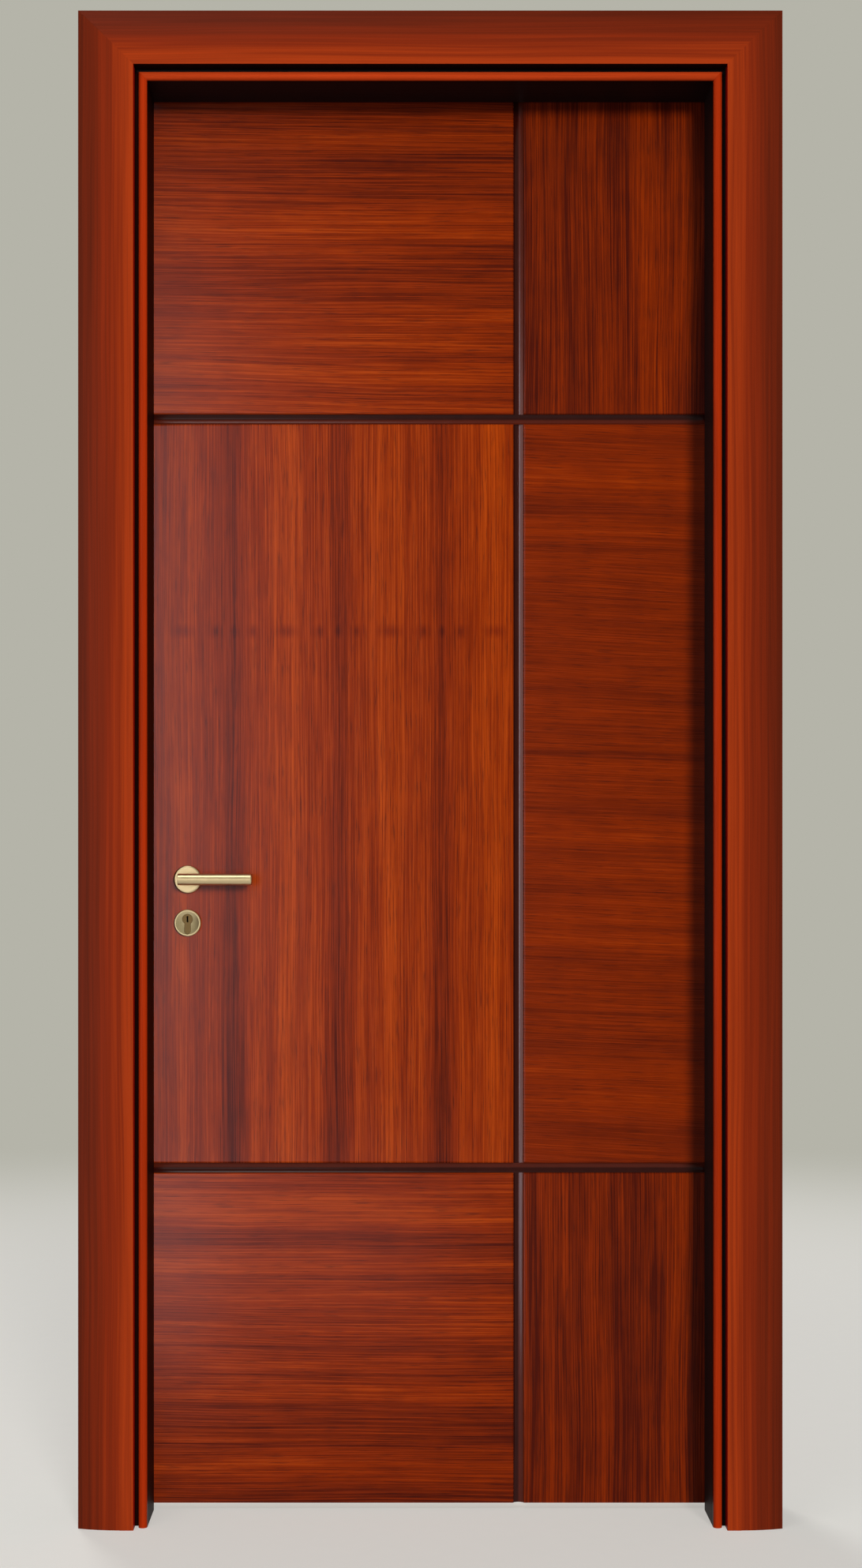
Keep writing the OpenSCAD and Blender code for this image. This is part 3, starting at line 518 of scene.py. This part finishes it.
# Plain stained hardwood with fine straight grain, left raw towards the wall where a raw tone is given
def stained_wood(name, grain, seed, tone, depth, roughness, gloss, flank_shade=None, raw=None):
    """One stain, which depth darkens between its lines; a bead's flanks get painted shade of their own."""
    material, tree = start_material(name)
    space, _ = grain_space(tree, grain, seed, solid=True)
    # The grain lines are drawn as coarse as they need to show
    line_w, line_l = 2 * MM, 250 * MM
    streak_w, streak_l = 8 * MM, 800 * MM
    line_share, streak_share = 0.5, 0.5
    streaks = pattern(tree, space, streak_w, streak_l, CLEAR)
    lines = pattern(tree, space, line_w, line_l, CLEAR)
    figure = total(tree, (streaks, streak_share), (lines, line_share))
    deep = tuple(c * depth for c in tone)
    ground = add(tree, "ValToRGB", {"Fac": figure}, [(0.1, deep), (0.9, tuple(tone))]).outputs["Color"]
    if flank_shade:
        ground = paint_flank_shade(tree, ground, **flank_shade)
    if raw:
        deep = tuple(c * depth for c in raw)
        bare = add(tree, "ValToRGB", {"Fac": figure}, [(0.1, deep), (0.9, tuple(raw))]).outputs["Color"]
        inputs = {"Factor": wall_side(tree), MIX_A: ground, MIX_B: bare}
        ground = add(tree, "Mix", inputs, data_type="RGBA").outputs[MIX_OUT]
    relief = add(tree, "Bump", {"Height": lines, "Strength": 0.08, "Distance": GRAIN_D})
    end_material(tree, {
        "Base Color": ground,
        "Roughness": rising(tree, lines, start=roughness, rise=0.08),
        "Normal": relief.outputs["Normal"],
        "Specular IOR Level": gloss,
    })
    return material


# Brushed metal: fine marks along one axis, a little uneven in gloss
def brushed_metal(metals, name, tone, marks_along, roughness, relief):
    """Metal of one tone whose brush marks run along the axis X, Y or Z."""
    material, tree = start_material(name)
    cloud_w = 16.7 * MM
    brush_share, cloud_share = 0.7, 0.3
    brush_gloss, cloud_gloss = 0.12, 0.08
    dulled = 0.86
    place = add(tree, "TexCoord").outputs["Object"]
    mark = {axis: metals.brush_w for axis in "XYZ"}
    mark[marks_along] *= BRUSH_STRETCH
    spread = add(tree, "Mapping", {"Vector": place, "Scale": tuple(1 / mark[axis] for axis in "XYZ")})
    brushed = add(tree, "TexNoise", {"Vector": spread.outputs[0], "Scale": 1.0, "Detail": 2.0}).outputs["Fac"]
    cloud = add(tree, "TexNoise", {"Vector": place, "Scale": 1 / cloud_w, "Detail": 2.0}).outputs["Fac"]
    dull = tuple(dulled * c for c in tone)
    figure = total(tree, (brushed, brush_share), (cloud, cloud_share))
    shade = add(tree, "ValToRGB", {"Fac": figure}, [(0.3, dull), (0.7, tuple(tone))])
    marks = add(tree, "Bump", {"Height": brushed, "Strength": relief, "Distance": BRUSH_D})
    smooth = roughness - (brush_gloss + cloud_gloss) / 2
    end_material(tree, {
        "Base Color": shade.outputs["Color"],
        "Roughness": total(tree, (brushed, brush_gloss), (cloud, cloud_gloss), (1.0, smooth)),
        "Normal": marks.outputs["Normal"],
        "Metallic": 1.0,
    })
    return material


# Dark bronze under clear lacquer: red-brown with a thin gloss, with painted shade that turns it nearly black
# on the groove's shaded side
def lacquered_bronze(metals, run, axis, shade_side):
    """Bronze for the strips of one run, with painted shade on the side of its axis that the sign shade_side
    gives.
    """
    material, tree = start_material("lacquered_bronze_" + run)
    cloud_w = 22.2 * MM
    unshaded_share, cloud_share, offset = 0.85, 0.3, -0.08
    # The painted shade fades out between these shares of half the strip's width, measured from its middle
    # towards the shaded side
    shade_end, unshaded_end = 0.15, -0.25
    place = add(tree, "TexCoord").outputs["Object"]
    cloud = add(tree, "TexNoise", {"Vector": place, "Scale": 1 / cloud_w, "Detail": 3.0}).outputs["Fac"]
    low, high = (getattr(corner, axis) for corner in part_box("front_strip_" + run))
    middle = (low + high) / 2
    half_w = shade_side * (high - low) / 2
    ends = {"From Min": middle + shade_end * half_w, "From Max": middle + unshaded_end * half_w}
    across = add(tree, "SeparateXYZ", {0: place}).outputs[axis.upper()]
    unshaded = add(tree, "MapRange", {"Value": across, **ends}).outputs["Result"]
    figure = total(tree, (unshaded, unshaded_share), (cloud, cloud_share), (1.0, offset))
    shade = add(tree, "ValToRGB", {"Fac": figure}, [(0.0, metals.bronze_shade), (1.0, metals.bronze)])
    end_material(tree, {
        "Base Color": shade.outputs["Color"],
        "Roughness": rising(tree, cloud, start=0.14, rise=0.1),
        "Specular IOR Level": 0.18,
    })
    return material


# Extruded rubber: dull, with faint lines along its length
def seal_rubber(metals, grain):
    """Rubber whose lines run upright or level."""
    material, tree = start_material("extruded_rubber_" + grain)
    space, _ = grain_space(tree, grain, seed=3.0)
    # The lines are drawn as coarse as they need to show
    line_w, line_l = 1.2 * MM, 300 * MM
    paler = 1.5
    lines = pattern(tree, space, line_w, line_l, SOFT)
    pale = tuple(paler * c for c in metals.rubber)
    shade = add(tree, "ValToRGB", {"Fac": lines}, [(0.2, tuple(metals.rubber)), (0.8, pale)])
    end_material(tree, {
        "Base Color": shade.outputs["Color"],
        "Roughness": rising(tree, lines, start=0.65, rise=0.1),
    })
    return material


def dress(material, *nodes):
    """Gives carried-over nodes one finish."""
    for name in nodes:
        NODES[name].data.materials.clear()
        NODES[name].data.materials.append(material)


class DOOR_OT_panels(bpy.types.Operator):
    """Veneer the six fields on each face of the leaf"""

    bl_idname = "front_door.panels"
    bl_label = "Veneered Panels"

    def execute(self, context):
        woods = context.scene.door_woods
        matched = {"seams": (21 * MM, 1436 * MM), "dull_x": -300 * MM}
        # Painted shade: the top field darkens upwards and the bottom field downwards, both towards the hinge
        # side
        shade_towards_top = {"rise_x": -0.18, "rise_z": -0.45}
        shade_towards_bottom = {"rise_x": -0.14, "rise_z": 0.45}
        fields = {
            "top_wide": {
                "grain": "level", "seed": 2.3, "tone": -0.08, "contrast": 0.85, "slope": 0.012, **shade_towards_top
            },
            "top_narrow": {"grain": "upright", "seed": 5.1, "tone": -0.23},
            "middle_wide": {"grain": "upright", "seed": 8.7, "tone": -0.04, "contrast": 0.72, **matched},
            "middle_narrow": {
                "grain": "level", "seed": 11.9, "tone": -0.11, "contrast": 0.6, "fine": 0.16, "slope": 0.04
            },
            "bottom_wide": {"grain": "level", "seed": 14.2, "tone": -0.08, "slope": 0.006, **shade_towards_bottom},
            "bottom_narrow": {"grain": "upright", "seed": 17.6, "tone": -0.22, "contrast": 0.8},
        }
        for place, figure in fields.items():
            dress(veneer(woods, place, **figure), "front_panel_" + place, "back_panel_" + place)
        return {"FINISHED"}


class DOOR_OT_casing(bpy.types.Operator):
    """Stain the architraves and the bead round the opening, with painted shade and painted light on them"""

    bl_idname = "front_door.casing"
    bl_label = "Casing"

    def execute(self, context):
        woods = context.scene.door_woods
        # At the front the gap tones are painted shade in the shadow gap; at the back they are the inner stain
        for face, side_gap, head_gap in (
            ("front", woods.quirk, woods.lining),
            ("back", woods.casing_inner, woods.casing_inner),
        ):
            name = f"painted_shade_hardwood_{face}_"
            upright = casing_wood(woods, name + "upright", "upright", seed=21.4, gap_tone=side_gap)
            level = casing_wood(woods, name + "level", "level", seed=24.8, gap_tone=head_gap)
            dress(upright, face + "_architrave_left", face + "_architrave_right")
            dress(level, face + "_architrave_head")
        low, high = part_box("hinge_bead")
        round_d = (high.x - low.x) / 2
        flank_y = low.y + 0.7 * round_d
        # Painted shade: behind its round the bead turns to the lining's tone towards the opening and to the
        # gap tone on its outer flank
        flank_shade = {"behind_y": flank_y, "inner": woods.lining, "outer_x": (low.x + high.x) / 2}
        bead = {"depth": 0.72, "roughness": 0.3, "gloss": CASING_GLOSS}
        sides = {**bead, "tone": woods.bead, "flank_shade": {**flank_shade, "outer": woods.quirk}}
        # Painted light: the head bead takes the lighter bead_head tone
        head = {**bead, "tone": woods.bead_head, "flank_shade": {**flank_shade, "outer": woods.lining}}
        upright = stained_wood("bead_hardwood_upright", "upright", seed=27.1, **sides)
        level = stained_wood("bead_hardwood_level", "level", seed=29.3, **head)
        dress(upright, "lock_bead", "hinge_bead")
        dress(level, "head_bead")
        return {"FINISHED"}


class DOOR_OT_lining(bpy.types.Operator):
    """Stain the jambs and the head nearly black as painted shade of the reveals"""

    bl_idname = "front_door.lining"
    bl_label = "Lining"

    def execute(self, context):
        woods = context.scene.door_woods
        # Painted shade: the lining tone stands in for the reveals' shadow; the raw tone on the wall sides is
        # the boards' own colour
        finish = {"tone": woods.lining, "depth": 0.6, "roughness": 0.5, "gloss": WOOD_GLOSS, "raw": woods.raw}
        upright = stained_wood("painted_shade_lining_upright", "upright", seed=31.2, **finish)
        level = stained_wood("painted_shade_lining_level", "level", seed=33.9, **finish)
        dress(upright, "lock_jamb", "hinge_jamb")
        dress(level, "head_jamb")
        return {"FINISHED"}


class DOOR_OT_leaf_edges(bpy.types.Operator):
    """Finish the core and the lippings of the leaf"""

    bl_idname = "front_door.leaf_edges"
    bl_label = "Leaf Edges"

    def execute(self, context):
        woods = context.scene.door_woods
        stain = {"tone": woods.lipping, "depth": 0.65, "roughness": 0.34, "gloss": WOOD_GLOSS}
        board = {"tone": woods.core, "depth": 0.75, "roughness": 0.7, "gloss": 0.3}
        lipping = stained_wood("lipping_hardwood", "upright", seed=36.5, **stain)
        core = stained_wood("raw_core_board", "upright", seed=38.8, **board)
        dress(lipping, "lock_lipping", "hinge_lipping")
        dress(core, "leaf_core")
        return {"FINISHED"}


class DOOR_OT_grooves(bpy.types.Operator):
    """Lacquer the bronze strips in the grooves, with painted shade on one side of each"""

    bl_idname = "front_door.grooves"
    bl_label = "Groove Strips"

    def execute(self, context):
        # Painted shade lies on the left of the upright strips, the top of the upper ones and the bottom of
        # the lower ones
        for run, axis, shade_side in (("upright", "x", -1), ("upper", "z", 1), ("lower", "z", -1)):
            bronze = lacquered_bronze(context.scene.door_metals, run, axis, shade_side)
            dress(bronze, "front_strip_" + run, "back_strip_" + run)
        return {"FINISHED"}


class DOOR_OT_furniture(bpy.types.Operator):
    """Brush the brass of the levers, the roses, the escutcheons and the cylinder"""

    bl_idname = "front_door.furniture"
    bl_label = "Handle and Cylinder"

    def execute(self, context):
        metals = context.scene.door_metals
        brass = brushed_metal(metals, "satin_brass", metals.brass, "X", roughness=0.3, relief=0.06)
        # Painted shade: the cylinder takes a darkened brass
        shade_darkened = brushed_metal(
            metals, "shade_darkened_brass_cylinder", metals.cylinder, "X", roughness=0.4, relief=0.06
        )
        for piece in ("lever", "rose", "escutcheon"):
            dress(brass, piece + "_outside", piece + "_inside")
        dress(shade_darkened, "cylinder_body", "cylinder_plug")
        return {"FINISHED"}


class DOOR_OT_lock(bpy.types.Operator):
    """Finish the lock, its bolts and the plates in the edges"""

    bl_idname = "front_door.lock"
    bl_label = "Lock"

    def execute(self, context):
        metals = context.scene.door_metals
        steel = brushed_metal(metals, "satin_steel_plate", metals.steel, "Z", roughness=0.32, relief=0.06)
        zinc = brushed_metal(metals, "zinc_plated_steel", metals.zinc, "Z", roughness=0.42, relief=0.05)
        dress(steel, "lock_forend", "strike_plate", "latch_bolt", "dead_bolt")
        dress(zinc, "lock_case", "lock_follower", "lever_spindle", "cylinder_cam")
        return {"FINISHED"}


class DOOR_OT_hinges(bpy.types.Operator):
    """Finish the hinge plates and their pins"""

    bl_idname = "front_door.hinges"
    bl_label = "Hinges"

    def execute(self, context):
        metals = context.scene.door_metals
        steel = brushed_metal(metals, "satin_steel_hinge", metals.steel, "Z", roughness=0.32, relief=0.05)
        dress(steel, "hinge_pins")
        for hinge in HINGES:
            dress(steel, "hinge_frame_plate_" + hinge, "hinge_leaf_plate_" + hinge)
        return {"FINISHED"}


class DOOR_OT_seals(bpy.types.Operator):
    """Finish the rubber seals in the stops"""

    bl_idname = "front_door.seals"
    bl_label = "Seals"

    def execute(self, context):
        metals = context.scene.door_metals
        dress(seal_rubber(metals, "upright"), "lock_seal", "hinge_seal")
        dress(seal_rubber(metals, "level"), "head_seal")
        return {"FINISHED"}


def select_only(piece):
    """Makes one object the selected and active one."""
    bpy.ops.object.select_all(action="DESELECT")
    piece.select_set(True)
    bpy.context.view_layer.objects.active = piece


def countersunk_screw(screws):
    """Models one screw at the origin: a countersunk head that faces +X, a cross recess and a short shank."""
    sides = 32
    downwards = -0.9
    head_d = screws.head_r - screws.shank_r
    bpy.ops.object.select_all(action="DESELECT")
    bpy.ops.mesh.primitive_cone_add(
        vertices=sides,
        radius1=screws.shank_r,
        radius2=screws.head_r,
        depth=head_d,
        location=(0, 0, -head_d / 2),
    )
    screw = bpy.context.object
    bpy.ops.object.mode_set(mode="EDIT")
    bpy.ops.mesh.select_all(action="DESELECT")
    bpy.ops.object.mode_set(mode="OBJECT")
    for face in screw.data.polygons:
        face.select = face.normal.z < downwards
    bpy.ops.object.mode_set(mode="EDIT")
    bpy.ops.mesh.extrude_region_move(TRANSFORM_OT_translate={"value": (0, 0, head_d - screws.shank_l)})
    bpy.ops.object.mode_set(mode="OBJECT")
    # Half of each arm stands above the head's face, so the recess is as deep as the other half
    for turn in (0.0, math.pi / 2):
        bpy.ops.mesh.primitive_cube_add(size=1)
        arm = bpy.context.object
        arm.scale = (screws.slot_l, screws.slot_w, 2 * screws.slot_d)
        arm.rotation_euler.z = turn
        select_only(screw)
        recess = screw.modifiers.new("recess", "BOOLEAN")
        recess.object = arm
        bpy.ops.object.modifier_apply(modifier="recess")
        bpy.data.objects.remove(arm)
    screw.rotation_euler.y = math.pi / 2
    select_only(screw)
    bpy.ops.object.transform_apply(location=True, rotation=True, scale=True)
    return screw


def set_screws(name, screw, places, body, material):
    """Copies a screw to places, each with the way that its head faces along x, and joins the copies."""
    copies = []
    for place, faces in places:
        copy = screw.copy()
        copy.data = screw.data.copy()
        bpy.context.collection.objects.link(copy)
        turn = Matrix.Rotation(0.0 if faces > 0 else math.pi, 4, "Z")
        copy.data.transform(Matrix.Translation(Vector(place)) @ turn)
        copies.append(copy)
    bpy.ops.object.select_all(action="DESELECT")
    for copy in copies:
        copy.select_set(True)
    bpy.context.view_layer.objects.active = copies[0]
    bpy.ops.object.join()
    joined = bpy.context.object
    joined.name = name
    joined.data.name = name
    bpy.ops.object.shade_smooth_by_angle(angle=math.radians(30))
    joined.data.materials.clear()
    joined.data.materials.append(material)
    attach(joined, body)


class DOOR_OT_screws(bpy.types.Operator):
    """Set the countersunk screws in the hinge plates, the forend and the strike plate"""

    bl_idname = "front_door.screws"
    bl_label = "Screws"

    def execute(self, context):
        screws, metals = context.scene.door_screws, context.scene.door_metals
        steel = brushed_metal(metals, "satin_steel_screw", metals.steel, "Y", roughness=0.28, relief=0.05)
        screw = countersunk_screw(screws)
        rows = ((-1, screws.hinge_back), (0, screws.hinge_deep), (1, screws.hinge_back))
        for side, face_x, faces, body in (
            ("frame", REBATE_X + screws.sunk, -1, "frame"),
            ("leaf", LEAF_EDGE_X - screws.sunk, 1, "leaf"),
        ):
            places = []
            for hinge in HINGES:
                low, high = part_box(f"hinge_{side}_plate_{hinge}")
                middle = (low.z + high.z) / 2
                for row, back in rows:
                    places.append(((face_x, LEAF_BACK_Y - back, middle + row * screws.hinge_pitch), faces))
            set_screws(f"hinge_{side}_screws", screw, places, body, steel)
        for node, faces, body in (("strike_plate", 1, "frame"), ("lock_forend", -1, "leaf")):
            low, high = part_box(node)
            face_x = (high.x if faces > 0 else low.x) - faces * screws.sunk
            heights = [low.z + screws.plate_inset, high.z - screws.plate_inset]
            if node == "lock_forend":
                heights.append(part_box("cylinder_body")[0].z + screws.cylinder_rise)
            places = [((face_x, (low.y + high.y) / 2, z), faces) for z in heights]
            set_screws(node + "_screws", screw, places, body, steel)
        bpy.data.objects.remove(screw)
        return {"FINISHED"}


def seen_share(tree):
    """A share that is 1 for the rays that see the background."""
    path = add(tree, "LightPath").outputs
    rays = total(tree, *((path[ray], 1.0) for ray in SEEN_RAYS))
    return add(tree, "Math", {0: rays, 1: 1.0}, operation="MINIMUM").outputs[0]


# Matt paint with a faint speckle: pale, with the door's soft shadow near it
def floor_paint(stage):
    """Paint that turns into the background's colour far from the door."""
    material, tree = start_material("matt_floor_paint")
    speckle_w = 33.3 * MM
    dimmed = 0.985
    place = add(tree, "TexCoord").outputs["Object"]
    speckle = add(tree, "TexNoise", {"Vector": place, "Scale": 1 / speckle_w, "Detail": 3.0}).outputs["Fac"]
    dim = tuple(dimmed * c for c in stage.floor)
    tone = add(tree, "ValToRGB", {"Fac": speckle}, [(0.3, dim), (0.7, tuple(stage.floor))]).outputs["Color"]
    paint = add(tree, "BsdfPrincipled", {"Base Color": tone, "Roughness": 0.9, "Specular IOR Level": 0.1})
    reach = add(tree, "VectorMath", {0: place}, operation="LENGTH").outputs["Value"]
    ends = {"From Min": FLOOR_NEAR, "From Max": FLOOR_FAR}
    far = add(tree, "MapRange", {"Value": reach, **ends}, interpolation_type="SMOOTHSTEP").outputs["Result"]
    veil = add(tree, "MapRange", {"Value": far, "To Min": FLOOR_VEIL}).outputs["Result"]
    tones = {MIX_A: stage.floor, MIX_B: stage.background}
    shown = add(tree, "Mix", {"Factor": far, **tones}, data_type="RGBA").outputs[MIX_OUT]
    glow = add(tree, "Emission", {"Color": shown, "Strength": 1.0}).outputs[0]
    fade = add(tree, "Math", {0: veil, 1: seen_share(tree)}, operation="MULTIPLY").outputs[0]
    mixed = add(tree, "MixShader", {0: fade, 1: paint.outputs["BSDF"], 2: glow}).outputs[0]
    add(tree, "OutputMaterial", {"Surface": mixed})
    return material


def build_floor(stage):
    """A pale floor that keeps the object's shadow near it and meets the background far away."""
    sides = 96
    bpy.ops.object.select_all(action="DESELECT")
    bpy.ops.mesh.primitive_circle_add(vertices=sides, radius=stage.floor_r, fill_type="NGON")
    floor = bpy.context.object
    floor.name = "studio_floor"
    floor.data.materials.append(floor_paint(stage))


def build_background(stage):
    """A pale background for what is seen, and even light for what is lit."""
    world = bpy.data.worlds.new("studio")
    bpy.context.scene.world = world
    world.use_nodes = True
    tree = world.node_tree
    tree.nodes.clear()
    light = add(tree, "Background", {"Color": WHITE, "Strength": stage.ambient}).outputs[0]
    shown = add(tree, "Background", {"Color": stage.background, "Strength": 1.0}).outputs[0]
    mixed = add(tree, "MixShader", {0: seen_share(tree), 1: light, 2: shown}).outputs[0]
    add(tree, "OutputWorld", {"Surface": mixed})


def add_lamp(name, kind, place, towards, energy, tint=WHITE, **settings):
    """Adds a lamp that points at a place."""
    bpy.ops.object.select_all(action="DESELECT")
    bpy.ops.object.light_add(type=kind, location=place)
    lamp = bpy.context.object
    lamp.name = name
    lamp.rotation_euler = (Vector(towards) - Vector(place)).to_track_quat("-Z", "Y").to_euler()
    lamp.data.energy = energy
    lamp.data.color = tint
    for key, value in settings.items():
        setattr(lamp.data, key, value)


def add_panel(name, radiance, tint):
    """Adds a soft rectangular panel with the brightness that its reflection shows."""
    place, towards, width, height = PANELS[name]
    power = math.pi * width * height * radiance
    add_lamp(name, "AREA", place, towards, power, tint, shape="RECTANGLE", size=width, size_y=height)


def leave_out(lamp, role, nodes):
    """Leaves some nodes out of what a lamp lights (receiver) or out of what shades it (blocker)."""
    left_out = bpy.data.collections.new(f"{lamp}_{role}")
    for name in nodes:
        left_out.objects.link(NODES[name])
    for member in left_out.collection_objects:
        member.light_linking.link_state = "EXCLUDE"
    setattr(bpy.data.objects[lamp].light_linking, role + "_collection", left_out)


class DOOR_OT_stage(bpy.types.Operator):
    """Set up the floor, the background, the lamps and the camera"""

    bl_idname = "front_door.stage"
    bl_label = "Stage"

    def execute(self, context):
        stage = context.scene.door_stage
        build_floor(stage)
        build_background(stage)
        self.add_suns(stage)
        self.add_panels(stage)
        self.add_camera(context, stage)
        context.scene.view_settings.view_transform = "Standard"
        return {"FINISHED"}

    def add_suns(self, stage):
        """Lights the door from the front and from behind, with no glint of either lamp."""
        middle = Vector((0.0, 0.0, CAD_HIGH.z / 2))
        rise = math.tan(stage.key_up) / math.cos(stage.key_side)
        key_place = middle + KEY_REACH * Vector((math.tan(stage.key_side), -1.0, rise))
        add_lamp("key", "SUN", key_place, middle, math.pi * stage.key, angle=KEY_SPREAD)
        add_lamp("back", "SUN", middle + BACK_PLACE, middle, math.pi * stage.back, angle=BACK_SPREAD)
        for lamp in ("key", "back"):
            bpy.data.objects[lamp].visible_glossy = False

    def add_panels(self, stage):
        """Adds the sheen on the leaf and the metal, and soft light from above."""
        for name, radiance, tint in (
            ("cool_panel", stage.sheen, stage.sheen_tint),
            ("low_panel", stage.low, stage.sheen_tint),
            ("corner_panel", stage.corner, stage.sheen_tint),
            ("front_panel", stage.front, WHITE),
            ("side_panel", stage.side, stage.side_tint),
            ("top_panel", stage.top, WHITE),
        ):
            add_panel(name, radiance, tint)
        for lamp in SHEEN_PANELS:
            bpy.data.objects[lamp].visible_diffuse = False
        for lamp in COOL_PANELS:
            leave_out(lamp, "receiver", FLAGGED)
            leave_out(lamp, "blocker", PASSED)
        leave_out("side_panel", "receiver", ["escutcheon_outside"])

    def add_camera(self, context, stage):
        """Looks straight at the door, with the lens shifted as the photograph's framing needs."""
        bpy.ops.object.camera_add(
            location=(-stage.camera_x, -stage.camera_y, stage.camera_z), rotation=(math.pi / 2, 0.0, 0.0)
        )
        camera = context.object
        camera.data.lens = stage.lens
        camera.data.shift_x = (IMAGE_W / 2 - VANISHING_PX) / IMAGE_H
        camera.data.shift_y = (VANISHING_PY - IMAGE_H / 2) / IMAGE_H
        context.scene.camera = camera


class DOOR_PT_sidebar(bpy.types.Panel):
    """Lists the steps that dress the door"""

    bl_idname = "DOOR_PT_sidebar"
    bl_label = "Front Door"
    bl_space_type = "VIEW_3D"
    bl_region_type = "UI"
    bl_category = "Front Door"

    def draw(self, context):
        for step in STEPS:
            self.layout.operator(step.bl_idname)


SETTINGS = {
    "door_woods": DoorWoods,
    "door_metals": DoorMetals,
    "door_screws": DoorScrews,
    "door_stage": DoorStage,
}
STEPS = (
    DOOR_OT_stage,
    DOOR_OT_panels,
    DOOR_OT_casing,
    DOOR_OT_lining,
    DOOR_OT_leaf_edges,
    DOOR_OT_grooves,
    DOOR_OT_furniture,
    DOOR_OT_lock,
    DOOR_OT_hinges,
    DOOR_OT_seals,
    DOOR_OT_screws,
)


def register():
    """Registers the settings, the steps and the sidebar panel."""
    for group in SETTINGS.values():
        bpy.utils.register_class(group)
    for name, group in SETTINGS.items():
        setattr(bpy.types.Scene, name, PointerProperty(type=group))
    for step in STEPS:
        bpy.utils.register_class(step)
    bpy.utils.register_class(DOOR_PT_sidebar)


def unregister():
    """Takes out what register put in."""
    bpy.utils.unregister_class(DOOR_PT_sidebar)
    for step in reversed(STEPS):
        bpy.utils.unregister_class(step)
    for name, group in SETTINGS.items():
        delattr(bpy.types.Scene, name)
        bpy.utils.unregister_class(group)


def main():
    register()
    for step in STEPS:
        group, name = step.bl_idname.split(".")
        getattr(getattr(bpy.ops, group), name)()


if __name__ == "__main__":
    main()
